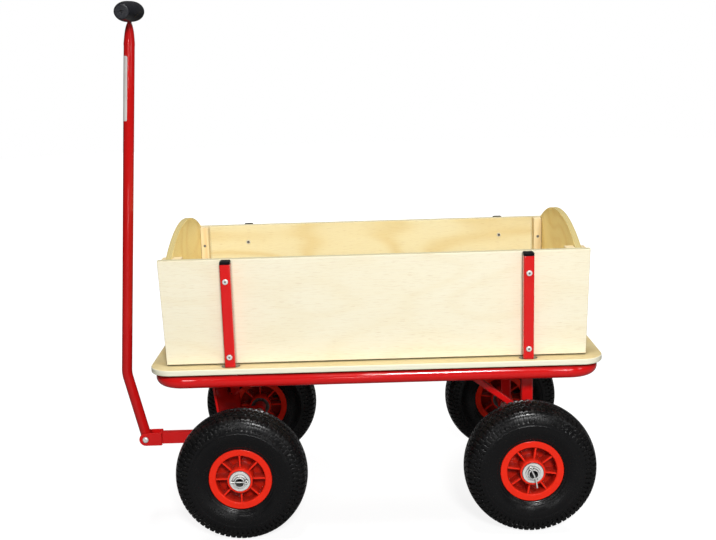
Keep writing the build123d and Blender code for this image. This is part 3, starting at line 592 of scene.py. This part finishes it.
def weld_tree():
    """Lays overlapping ripples of weld along every line of the mesh."""
    tree, given, result = new_tree(
        "Geometry", "weld_ripples", ("Geometry", "Step", "Bead", "Material"), ("Geometry",)
    )
    smallest, largest = 0.85, 1.1
    line = add(tree, "GeometryNodeMeshToCurve", {0: given["Geometry"]}).outputs[0]
    even = add(tree, "GeometryNodeResampleCurve", {"Curve": line, "Length": given["Step"]}, mode="LENGTH")
    ripple = add(tree, "GeometryNodeMeshIcoSphere", {"Radius": given["Bead"], "Subdivisions": 2}).outputs[0]
    size = add(tree, "FunctionNodeRandomValue", {2: smallest, 3: largest, "Seed": 3}, data_type="FLOAT")
    inputs = {"Points": even.outputs[0], "Instance": ripple, "Scale": size.outputs[1]}
    return end_tree(tree, given, result, inputs)


def arc(first, middle, last, steps):
    """Points on the circle through three points, from the first to just before the last."""
    (ax, ay), (bx, by), (cx, cy) = first, middle, last
    a, b, c = (x**2 + y**2 for x, y in (first, middle, last))
    scale = 2.0 * (ax * (by - cy) + bx * (cy - ay) + cx * (ay - by))
    mid_x = (a * (by - cy) + b * (cy - ay) + c * (ay - by)) / scale
    mid_y = (a * (cx - bx) + b * (ax - cx) + c * (bx - ax)) / scale
    start = atan2(ay - mid_y, ax - mid_x)
    sweep = (atan2(cy - mid_y, cx - mid_x) - start + pi) % FULL_TURN - pi
    radius = hypot(ax - mid_x, ay - mid_y)
    turns = [start + sweep * step / steps for step in range(steps)]
    return [(mid_x + radius * cos(t), mid_y + radius * sin(t)) for t in turns]


# Half of the tyre's outer skin, in millimetres across and out from the axle
BEAD = ((29.0, 62.3), (32.6, 62.3), (33.7, 62.6), (34.5, 63.5), (34.9, 64.8))
SIDE = ((35.2, 66.2), (42.5, 92.0), (38.0, 114.5))
SHOULDER = ((38.0, 114.5), (34.2, 121.975), (27.0, 126.0))
CROWN = ((27.0, 126.0), (0.0, 129.9), (-27.0, 126.0))

# Half of the tyre's inside, from the middle to the bead, and the radius of the section's middle
CAVITY = (
    (0.0, 121.0), (16.0, 119.0), (29.0, 113.0), (35.0, 101.0), (36.0, 90.0), (31.0, 72.0), (22.0, 57.0),
    (22.0, 50.9), (29.0, 50.9),
)
SECTION_MIDDLE = 85.0

# Raised rings on the side: radius and height of each, and half their width
SIDE_RINGS = ((69.0, 0.9), (96.0, 0.6))
RING_HALF_WIDTH = 0.9

# Rows of lugs on half of the crown: outer and inner edge from the middle, and shift round the tyre
CROWN_ROWS = ((27.0, 21.0, 0.125), (17.0, 11.0, 0.375), (7.0, 0.0, 0.125))
LUG_WALL = 0.8

# Shifts round the tyre as shares of a slice, and how the lugs rise from their foot to their full height
SIDE_SHIFT, SHOULDER_SHIFT, MIRROR_SHIFT = 0.375, 0.125, 0.25
RAMP_LENGTH, FOOT_SHARE, FULL_HEIGHT_RADIUS = 1.4, 0.8, 120.0

# Places round one slice: its share on the sides and on the crown, and how far each is sunk
SLICE = (
    (0.0, 0.0, 0.0), (0.03, 0.02, 1.0), (0.11, 0.06, 1.0), (0.19, 0.1, 1.0), (0.22, 0.12, 0.0),
    (0.31, 0.25, 0.0), (0.4, 0.37, 0.0), (0.5, 0.5, 0.0), (0.53, 0.52, 0.9), (0.61, 0.56, 0.9),
    (0.69, 0.6, 0.9), (0.72, 0.62, 0.0), (0.81, 0.75, 0.0), (0.9, 0.87, 0.0), (1.0, 1.0, 0.0),
)


def crown_radius(across):
    """Radius of the crown at a distance from the tyre's middle."""
    span, rise = CROWN[0][0], CROWN[1][1] - CROWN[0][1]
    bow = (span**2 + rise**2) / (2.0 * rise)
    return CROWN[1][1] - bow + sqrt(bow**2 - across**2)


def skin_columns(foot):
    """Columns of the tyre's half skin from the bead to the middle: across, radius, kind and shift."""
    columns = [(u, r, "plain", SIDE_SHIFT) for u, r in BEAD]
    for u, r in arc(*SIDE, 40):
        kind = "plain" if r < foot else "ramp" if r < foot + RAMP_LENGTH else "side"
        columns.append((u, r, kind, SIDE_SHIFT))
    columns += [(u, r, "side", SHOULDER_SHIFT) for u, r in arc(*SHOULDER, 8)]
    for outer, inner, shift in CROWN_ROWS:
        if outer != CROWN_ROWS[0][0]:
            columns.append((outer + LUG_WALL, crown_radius(outer + LUG_WALL), "gap", shift))
        columns += [(u, crown_radius(u), "lug", shift) for u in (outer, (outer + inner) / 2.0, inner)]
        if inner > 0.0:
            columns.append((inner - LUG_WALL, crown_radius(inner - LUG_WALL), "gap", shift))
    return columns


def lift_of(kind, sunk, deep, swell):
    """How far a point of a column of that kind stands off the skin."""
    if kind == "plain":
        return swell
    if kind == "inside":
        return 0.0
    if kind == "gap":
        return -deep
    return -sunk * deep * (0.5 if kind == "ramp" else 1.0)


def slice_mesh(tyres):
    """One slice of a tyre on an axle along Y through the origin: lugs, channels, sides and the inside."""
    foot, groove = tyres.lug_foot / MM, tyres.groove / MM
    half = skin_columns(foot)
    far_half = [(-u, r, kind, MIRROR_SHIFT - shift) for u, r, kind, shift in reversed(half[:-1])]
    hollow = [(-u, r, "inside", 0.0) for u, r in reversed(CAVITY)]
    hollow += [(u, r, "inside", 0.0) for u, r in CAVITY[1:]]
    columns = half + far_half + hollow
    turn = FULL_TURN / tyres.pairs
    work = bmesh.new()
    grid = []
    for index, (u, r, kind, shift) in enumerate(columns):
        before, after = columns[index - 1], columns[(index + 1) % len(columns)]
        out = Vector((before[1] - after[1], after[0] - before[0])).normalized()
        if out.dot(Vector((u, r - SECTION_MIDDLE))) < 0.0:
            out = -out
        risen = (r - foot) / (FULL_HEIGHT_RADIUS - foot)
        deep = groove * min(1.0, FOOT_SHARE + (1.0 - FOOT_SHARE) * risen)
        swell = sum(high * exp(-(((r - at) / RING_HALF_WIDTH) ** 2)) for at, high in SIDE_RINGS)
        line = []
        for on_side, on_crown, sunk in SLICE:
            lift = lift_of(kind, sunk, deep, swell)
            across, radius = u + out.x * lift, r + out.y * lift
            angle = turn * (shift + (on_crown if kind in ("lug", "gap") else on_side))
            place = Vector((radius * sin(angle), across, radius * cos(angle))) * MM
            line.append(work.verts.new(place))
        grid.append(line)
    for first, second in zip(grid, grid[1:] + grid[:1]):
        for step in range(len(SLICE) - 1):
            work.faces.new((first[step], first[step + 1], second[step + 1], second[step]))
    return mesh_from(work, "tyre_slice")


def screw_mesh(head, shank, deep):
    """Countersunk screw with a cross recess, its head level with Z 0."""
    sides, neck = 28, shank / head
    arm, slot, pit_deep, pit_share = 0.62 * head, 0.16 * head, 0.45 * head, 0.6
    steps = ((1.0, 0.08 * head), (neck, 0.62 * head), (neck, deep - head), (0.12 * neck, deep))
    work = bmesh.new()
    turns = [FULL_TURN * k / sides for k in range(sides)]
    lip = [Vector((head * cos(t), head * sin(t), 0.0)) for t in turns]
    rim = [work.verts.new(p) for p in lip]
    cross = []
    for quarter in range(4):
        turn = Matrix.Rotation(quarter * pi / 2, 3, "Z")
        cross += [turn @ Vector((x, y, 0.0)) for x, y in ((arm, slot), (slot, slot), (slot, arm))]
    mouth = [work.verts.new(p) for p in cross]
    pit = [work.verts.new(Vector((p.x * pit_share, p.y * pit_share, -pit_deep))) for p in cross]
    edges = [work.edges.new((loop[k - 1], loop[k])) for loop in (rim, mouth) for k in range(len(loop))]
    bmesh.ops.triangle_fill(work, edges=edges, use_beauty=True)
    work.faces.new(pit)
    rings = [rim]
    for scale, depth in steps:
        rings.append([work.verts.new(Vector((p.x * scale, p.y * scale, -depth))) for p in lip])
    for upper, lower in (*zip(rings, rings[1:]), (mouth, pit)):
        for k in range(len(upper)):
            work.faces.new((upper[k - 1], upper[k], lower[k], lower[k - 1]))
    work.faces.new(rings[-1])
    bmesh.ops.recalc_face_normals(work, faces=work.faces)
    return mesh_from(work, "screw")


class WAGON_OT_boards(Operator):
    """Give the panels, end boards and deck their veneer and ply edges, and the battens their pine"""

    bl_idname = "wagon.boards"
    bl_label = "Boards"

    def execute(self, context):
        wood = context.scene.wagon_wood
        inner, outer, sheet = wood.inner_veneer, wood.outer_veneer, wood.ply_sheet
        board, deck = wood.board_veneer, wood.deck_veneer
        box_x, above = middle_of("side_left_panel").x, 1.0
        sides = ply_finish(
            "panel_ply", "XZY", 0.0, inner, outer, shaded(inner, 0.8), sheet,
            loops=8.0, reach=0.45, figure=0.7,
        )
        dress(sides, "side_left_panel", "side_right_panel")
        ends = ply_finish(
            "board_ply", "YZX", box_x, board, board, shaded(board, 0.62), sheet,
            loops=9.0, reach=0.35, figure=0.5,
        )
        dress(ends, "front_board", "rear_board")
        base = ply_finish("deck_ply", "XYZ", above, deck, deck, shaded(outer, 1.05), sheet, gap=18.0 * MM)
        dress(base, "deck_board")
        dress(pine_finish("batten_pine", wood.pine), "side_left_battens", "side_right_battens")
        return {"FINISHED"}


class WAGON_OT_steelwork(Operator):
    """Coat the frame, fork, drawbar and stakes in red enamel"""

    bl_idname = "wagon.steelwork"
    bl_label = "Red steelwork"

    def execute(self, context):
        dress(
            enamel(context.scene),
            "frame_ring", "front_cross_rails", "rear_cross_rails", "turntable_plate", "rear_leg_left",
            "rear_leg_right", "rear_braces", "stake_spigots", "steering_plate", "kingpin", "kingpin_sleeve",
            "fork_front_plate", "fork_leg_left", "fork_leg_right", "drawbar", "drawbar_clevis",
            "side_left_stakes", "side_right_stakes",
        )
        return {"FINISHED"}


class WAGON_OT_welds(Operator):
    """Run weld beads along the joints of the frame and the fork"""

    bl_idname = "wagon.welds"
    bl_label = "Welds"

    def execute(self, context):
        paint = context.scene.wagon_paint
        tree = weld_tree()
        values = {"Step": paint.weld_step, "Bead": paint.weld_bead, "Material": enamel(context.scene)}
        for body, loops in (("chassis", self.chassis_lines()), ("steering", self.steering_lines())):
            name = f"{body}_welds"
            made = grow(name, lines_mesh(f"{name}_lines", loops), tree, values)
            for face in made.polygons:
                face.use_smooth = True
            piece = piece_from(name, made)
            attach(piece, body)
        return {"FINISHED"}

    def chassis_lines(self):
        """Round the heads of the legs, and round both ends of the braces."""
        loops = []
        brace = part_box("rear_braces")[0]
        for side in SIDES:
            low, high = self.head(f"rear_leg_{side}")
            middle = (low.y + high.y) / 2.0
            left, right = middle - BRACE_HALF, middle + BRACE_HALF
            loops.append(self.around(low.x, low.y, high.x, high.y, high.z))
            loops.append(self.upright(low.x, low.x, left, right, brace.z, brace.z + BRACE_FOOT_TALL))
            loops.append(self.around(brace.x, left, brace.x + BRACE_HEAD_LONG, right, high.z))
        return loops

    def head(self, name):
        """Corners of the topmost vertices of a node."""
        level = 0.5 * MM
        places = [v.co for v in nodes[name].data.vertices]
        top = max(p.z for p in places)
        return corners([p for p in places if top - p.z < level])

    def around(self, x0, y0, x1, y1, z):
        """A level rectangle with cut corners, closed."""
        cut = 1.6 * MM
        return [
            (x0 + cut, y0, z), (x1 - cut, y0, z), (x1, y0 + cut, z), (x1, y1 - cut, z), (x1 - cut, y1, z),
            (x0 + cut, y1, z), (x0, y1 - cut, z), (x0, y0 + cut, z), (x0 + cut, y0, z),
        ]

    def upright(self, foot_x, top_x, left, right, foot, top):
        """A standing rectangle, closed, which may lean along X."""
        return [
            (foot_x, left, foot), (foot_x, right, foot), (top_x, right, top), (top_x, left, top),
            (foot_x, left, foot),
        ]

    def steering_lines(self):
        """Round the drawbar's ends, in the corners of the fork, and round the sleeve."""
        low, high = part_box("drawbar")
        plate_low, plate_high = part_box("fork_front_plate")
        rake = (plate_high.x - plate_low.x - FORK_PLATE) / (plate_high.z - plate_low.z)

        def plate_front(z):
            return plate_low.x + rake * (plate_high.z - z)

        def plate_back(z):
            return plate_front(z) + FORK_PLATE

        loops = [
            self.upright(low.x, low.x, low.y, high.y, low.z, high.z),
            self.upright(plate_front(low.z), plate_front(high.z), low.y, high.y, low.z, high.z),
        ]
        inset = 2.0 * MM
        top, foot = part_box("fork_leg_left")[1].z - inset, plate_low.z + inset
        for y in (plate_low.y + FORK_PLATE, plate_high.y - FORK_PLATE):
            loops.append([(plate_back(foot), y, foot), (plate_back(top), y, top)])
        head = plate_high.z
        ends = (plate_low.y + 2 * FORK_PLATE, plate_high.y - 2 * FORK_PLATE)
        loops.append([(plate_back(head), y, head) for y in ends])
        low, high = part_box("kingpin_sleeve")
        middle, radius, steps = (low + high) / 2.0, (high.x - low.x) / 2.0, 32
        turns = [FULL_TURN * k / steps for k in range(steps + 1)]
        ring = [(middle.x + radius * cos(t), middle.y + radius * sin(t), high.z) for t in turns]
        loops.append(ring)
        return loops


class WAGON_OT_rims(Operator):
    """Finish the moulded rims and their bearings"""

    bl_idname = "wagon.rims"
    bl_label = "Rims"

    def execute(self, context):
        red = context.scene.wagon_paint.rim
        # The long reach paints shade deep in the dish between the rim's ribs.
        rim = moulded_finish("rim_moulding", red, 0.2, 0.1 * MM, size=0.04, shine=0.28, gap=25.0 * MM)
        dress(rim, *(f"{wheel}_rim" for wheel in WHEELS))
        steel = plated_finish("bearing_steel", context.scene.wagon_hardware.steel, 0.22)
        dress(steel, *(f"{wheel}_bearings" for wheel in WHEELS))
        return {"FINISHED"}


class WAGON_OT_tyres(Operator):
    """Build the treaded tyres in place of the plain CAD ones, and finish the air tubes"""

    bl_idname = "wagon.tyres"
    bl_label = "Tyres"

    def execute(self, context):
        tyres = context.scene.wagon_tyres
        rubber = moulded_finish("tyre_rubber", tyres.rubber, 0.2, 0.1 * MM, size=0.02, shine=0.3)
        tube = moulded_finish("tube_rubber", tyres.rubber, 0.5, 0.3 * MM)
        made = grow("tyre", slice_mesh(tyres), round_tree(), {"Slices": tyres.pairs, "Material": rubber})
        close_up(made, 0.02 * MM, 32.0)
        for wheel in WHEELS:
            mesh = made.copy()
            turn = Matrix.Rotation(pi if wheel.endswith("right") else 0.0, 4, "Z")
            mesh.transform(Matrix.Translation(middle_of(f"{wheel}_tyre")) @ turn)
            piece = piece_from(f"{wheel}_treaded_tyre", mesh)
            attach(piece, wheel)
            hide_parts(f"{wheel}_tyre")
            dress(tube, f"{wheel}_inner_tube")
        return {"FINISHED"}


class WAGON_OT_hardware(Operator):
    """Plate the axles, washers, pins and bolts, and finish the turntable's disc"""

    bl_idname = "wagon.hardware"
    bl_label = "Plated hardware"

    def execute(self, context):
        dress(
            zinc(context.scene),
            "rear_axle", "rear_axle_washers", "rear_split_pins", "front_axle", "front_axle_washers",
            "front_split_pins", "pivot_bolt", "side_left_stake_bolts", "side_right_stake_bolts",
        )
        nylon = moulded_finish("nylon_disc", context.scene.wagon_hardware.nylon, 0.4, 0.2 * MM)
        dress(nylon, "turntable_disc")
        return {"FINISHED"}


class WAGON_OT_screws(Operator):
    """Stand cross-head screws in the deck, and darker ones in the battens, with painted shade on their zinc
    """

    bl_idname = "wagon.screws"
    bl_label = "Screws"

    def execute(self, context):
        hardware = context.scene.wagon_hardware
        shank, deck_deep, batten_deep = 2.0 * MM, 20.0 * MM, 34.0 * MM
        tree = place_tree()
        bright = zinc(context.scene)
        # The batten screws' zinc is darkened: painted shade and painted dark reflection.
        zinc_in_shade = plated_finish("zinc_painted_shade", shaded(hardware.zinc, 0.3), 0.4)
        batten = hardware.batten_head
        sets = (
            ("deck_screws", "chassis", hardware.deck_head, deck_deep, (0.0, 0.0, 1.0), bright),
            ("side_left_batten_screws", "side_left", batten, batten_deep, (0.0, 1.0, 0.0), zinc_in_shade),
            ("side_right_batten_screws", "side_right", batten, batten_deep, (0.0, -1.0, 0.0), zinc_in_shade),
        )
        for name, body, head, deep, outward, finish in sets:
            screw = piece_from("screw_shape", screw_mesh(head, shank, deep))
            points = lines_mesh(f"{name}_points", [[tuple(p)] for p in self.heads(name, Vector(outward))])
            values = {"Screw": screw, "Outward": outward, "Material": finish}
            made = grow(f"{name}_set", points, tree, values)
            bpy.data.objects.remove(screw)
            piece = piece_from(f"{name}_crossed", made)
            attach(piece, body)
            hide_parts(name)
        return {"FINISHED"}

    def heads(self, name, outward):
        """Middle of each screw's head, from the outermost vertices of the CAD screws."""
        level, apart = 0.05 * MM, 20.0 * MM
        places = [v.co.copy() for v in nodes[name].data.vertices]
        top = max(p.dot(outward) for p in places)
        heads = []
        for p in places:
            if top - p.dot(outward) > level:
                continue
            near = next((group for group in heads if (group[0] - p).length < apart), None)
            if near is None:
                heads.append([p])
            else:
                near.append(p)
        return [sum(corners(group), Vector()) / 2.0 for group in heads]


class WAGON_OT_handle(Operator):
    """Finish the pole, the grip and the stake caps, and lay a blank pale strip on the pole"""

    bl_idname = "wagon.handle"
    bl_label = "Pole, grip, caps and strip"

    def execute(self, context):
        handle = context.scene.wagon_handle
        grip = moulded_finish("black_moulding", handle.plastic, 0.26, 0.05 * MM, shine=0.35)
        dress(grip, "handle_grip")
        caps = moulded_finish("cap_moulding", shaded(handle.plastic, 0.4), 0.4, 0.05 * MM, shine=0.08)
        dress(caps, "side_left_stake_caps", "side_right_stake_caps")
        # Painted shade: the pole takes a darker copy of the tubes' enamel.
        red = shaded(context.scene.wagon_paint.enamel, handle.pole_shade)
        dress(enamel_finish("pole_enamel_in_shade", red), "handle_pole")
        piece = piece_from("pole_strip", self.strip(handle))
        piece.data.materials.append(moulded_finish("strip_film", handle.strip, 0.34, 0.15 * MM))
        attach(piece, "handle")
        return {"FINISHED"}

    def strip(self, handle):
        """A thin film with round corners, bent round the front of the pole."""
        wide, corner, under, over = 32.0 * MM, 3.0 * MM, 0.02 * MM, 0.2 * MM
        columns, corner_rows = 20, 5
        tall = (handle.strip_high - handle.strip_low) / cos(POLE_LEAN)
        bend = [0.5 * pi * k / corner_rows for k in range(corner_rows + 1)]
        rows = [corner * (1.0 - cos(t)) for t in bend]
        rows += [tall - row for row in reversed(rows)]
        work = bmesh.new()
        layers = []
        for lift in (under, over):
            out = POLE_RADIUS + lift
            grid = []
            for row in rows:
                inset = max(corner - row, row - tall + corner, 0.0)
                half = wide / 2.0 - corner + sqrt(max(corner**2 - inset**2, 0.0))
                reach = half / POLE_RADIUS
                turns = [pi + reach * (2.0 * k / columns - 1.0) for k in range(columns + 1)]
                grid.append([work.verts.new((out * cos(t), out * sin(t), row)) for t in turns])
            layers.append(grid)
        for grid in layers:
            for first, second in zip(grid, grid[1:]):
                for k in range(columns):
                    work.faces.new((first[k], first[k + 1], second[k + 1], second[k]))
        inner, outer = (
            grid[0] + [line[-1] for line in grid[1:-1]] + grid[-1][::-1] + [line[0] for line in grid[-2:0:-1]]
            for grid in layers
        )
        for k in range(len(inner)):
            work.faces.new((inner[k - 1], inner[k], outer[k], outer[k - 1]))
        bmesh.ops.recalc_face_normals(work, faces=work.faces)
        mesh = mesh_from(work, "pole_strip")
        grip = middle_of("handle_grip")
        foot_x = grip.x - (grip.z - handle.strip_low) * tan(POLE_LEAN)
        foot = Matrix.Translation((foot_x, 0.0, handle.strip_low))
        mesh.transform(foot @ Matrix.Rotation(POLE_LEAN, 4, "Y"))
        close_up(mesh, 0.002 * MM, 40.0)
        return mesh


class WAGON_OT_stage(Operator):
    """Set the floor, lamps, white surround and camera"""

    bl_idname = "wagon.stage"
    bl_label = "Stage"

    def execute(self, context):
        stage = context.scene.wagon_stage
        context.scene.view_settings.view_transform = "Standard"
        self.floor(stage)
        self.surround(context.scene, stage)
        self.lamps(stage)
        self.camera(context.scene, stage)
        return {"FINISHED"}

    def lamps(self, stage):
        """Sets each lamp: its power, width, height, place and whether reflections show it."""
        lamps = (
            ("main_lamp", stage.main, 0.6, 0.6, (0.45, -3.6, 2.4), True),
            ("top_lamp", stage.top, 0.45, 0.45, (0.1, -0.6, 3.2), True),
            ("right_lamp", stage.right, 0.05, 0.3, (0.86, -2.3, 0.9), True),
            ("left_lamp", stage.left, 0.05, 0.3, (-0.7, -2.25, 0.93), True),
            ("side_lamp", stage.side, 0.3, 0.5, (1.5, -1.3, 0.9), True),
            ("rear_lamp", stage.ends, 0.6, 0.6, (1.2, 1.8, 2.2), False),
            ("front_lamp", stage.ends, 0.6, 0.6, (-0.8, 1.7, 2.0), False),
            ("low_lamp", stage.low, 0.2, 0.15, (-0.01, -2.43, 0.21), True),
        )
        aim = Vector((0.0, 0.0, 0.35))
        for name, power, wide, tall, place, mirrored in lamps:
            data = bpy.data.lights.new(name, "AREA")
            data.energy, data.shape, data.size, data.size_y = power, "RECTANGLE", wide, tall
            lamp = piece_from(name, data)
            lamp.visible_glossy = mirrored
            lamp.location = place
            lamp.rotation_euler = (aim - lamp.location).to_track_quat("-Z", "Y").to_euler()

    def floor(self, stage):
        """A disc that takes shadows and glows to the camera, more so further out."""
        near, far, near_glow, far_glow = 0.7, 2.6, 0.87, 1.2
        work = bmesh.new()
        bmesh.ops.create_circle(work, cap_ends=True, segments=96, radius=9.0)
        mesh = mesh_from(work, "floor")
        finish, tree, shader, place, _ = new_finish("floor_paper", Roughness=0.9, Specular_IOR_Level=0.1)
        feed(tree, shader.inputs["Base Color"], stage.floor)
        seen = add(tree, "ShaderNodeLightPath").outputs["Is Camera Ray"]
        away = add(tree, "ShaderNodeVectorMath", {0: place}, operation="LENGTH").outputs["Value"]
        glow = ramp(tree, away, near, far, near_glow, far_glow)
        feed(tree, shader.inputs["Emission Color"], WHITE)
        feed(tree, shader.inputs["Emission Strength"], times(tree, seen, glow))
        floor = piece_from("floor", mesh)
        mesh.materials.append(finish)

    def surround(self, scene, stage):
        """Even light, with its own strength in reflections, and white to the camera."""
        world = bpy.data.worlds.new("white_surround")
        world.use_nodes = True
        tree = world.node_tree
        tree.nodes.clear()
        path = add(tree, "ShaderNodeLightPath").outputs
        seen = sum_up(tree, "MAXIMUM", path["Is Camera Ray"], path["Is Transmission Ray"])
        glow = slope(tree, path["Is Glossy Ray"], stage.gleam - stage.sky, stage.sky)
        strength = sum_up(tree, "MAXIMUM", seen, glow)
        light = add(tree, "ShaderNodeBackground", {"Color": WHITE, "Strength": strength})
        tree.links.new(light.outputs[0], add(tree, "ShaderNodeOutputWorld").inputs[0])
        scene.world = world

    def camera(self, scene, stage):
        yaw, pitch, roll = (radians(turn) for turn in (0.277, 11.933, 1.728))
        data = bpy.data.cameras.new("camera")
        data.lens, data.sensor_width, data.sensor_fit = stage.lens, 36.0, "HORIZONTAL"
        camera = piece_from("camera", data)
        place = Matrix.Translation(stage.eye)
        for turn, axis in ((yaw, "Z"), (pi / 2.0 - pitch, "X"), (-roll, "Z")):
            place = place @ Matrix.Rotation(turn, 4, axis)
        camera.matrix_world = place
        scene.camera = camera


GROUPS = {
    "wagon_wood": WagonWood,
    "wagon_paint": WagonPaint,
    "wagon_tyres": WagonTyres,
    "wagon_hardware": WagonHardware,
    "wagon_handle": WagonHandle,
    "wagon_stage": WagonStage,
}
OPERATORS = (
    WAGON_OT_boards,
    WAGON_OT_steelwork,
    WAGON_OT_welds,
    WAGON_OT_rims,
    WAGON_OT_tyres,
    WAGON_OT_hardware,
    WAGON_OT_screws,
    WAGON_OT_handle,
    WAGON_OT_stage,
)


class WAGON_PT_panel(Panel):
    """Sizes, colours and steps of the wagon"""

    bl_label = "Wooden pull wagon"
    bl_idname = "WAGON_PT_panel"
    bl_space_type = "VIEW_3D"
    bl_region_type = "UI"
    bl_category = "Wagon"

    def draw(self, context):
        for name, group in GROUPS.items():
            box = self.layout.box()
            for key in group.__annotations__:
                box.prop(getattr(context.scene, name), key)
        for operator in OPERATORS:
            self.layout.operator(operator.bl_idname)


def register():
    for made in (*GROUPS.values(), *OPERATORS, WAGON_PT_panel):
        bpy.utils.register_class(made)
    for name, group in GROUPS.items():
        setattr(bpy.types.Scene, name, PointerProperty(type=group))


def unregister():
    for name in GROUPS:
        delattr(bpy.types.Scene, name)
    for made in (WAGON_PT_panel, *reversed(OPERATORS), *reversed(tuple(GROUPS.values()))):
        bpy.utils.unregister_class(made)


def main():
    register()
    bpy.ops.wagon.boards()
    bpy.ops.wagon.steelwork()
    bpy.ops.wagon.welds()
    bpy.ops.wagon.rims()
    bpy.ops.wagon.tyres()
    bpy.ops.wagon.hardware()
    bpy.ops.wagon.screws()
    bpy.ops.wagon.handle()
    bpy.ops.wagon.stage()
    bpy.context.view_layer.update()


if __name__ == "__main__":
    main()
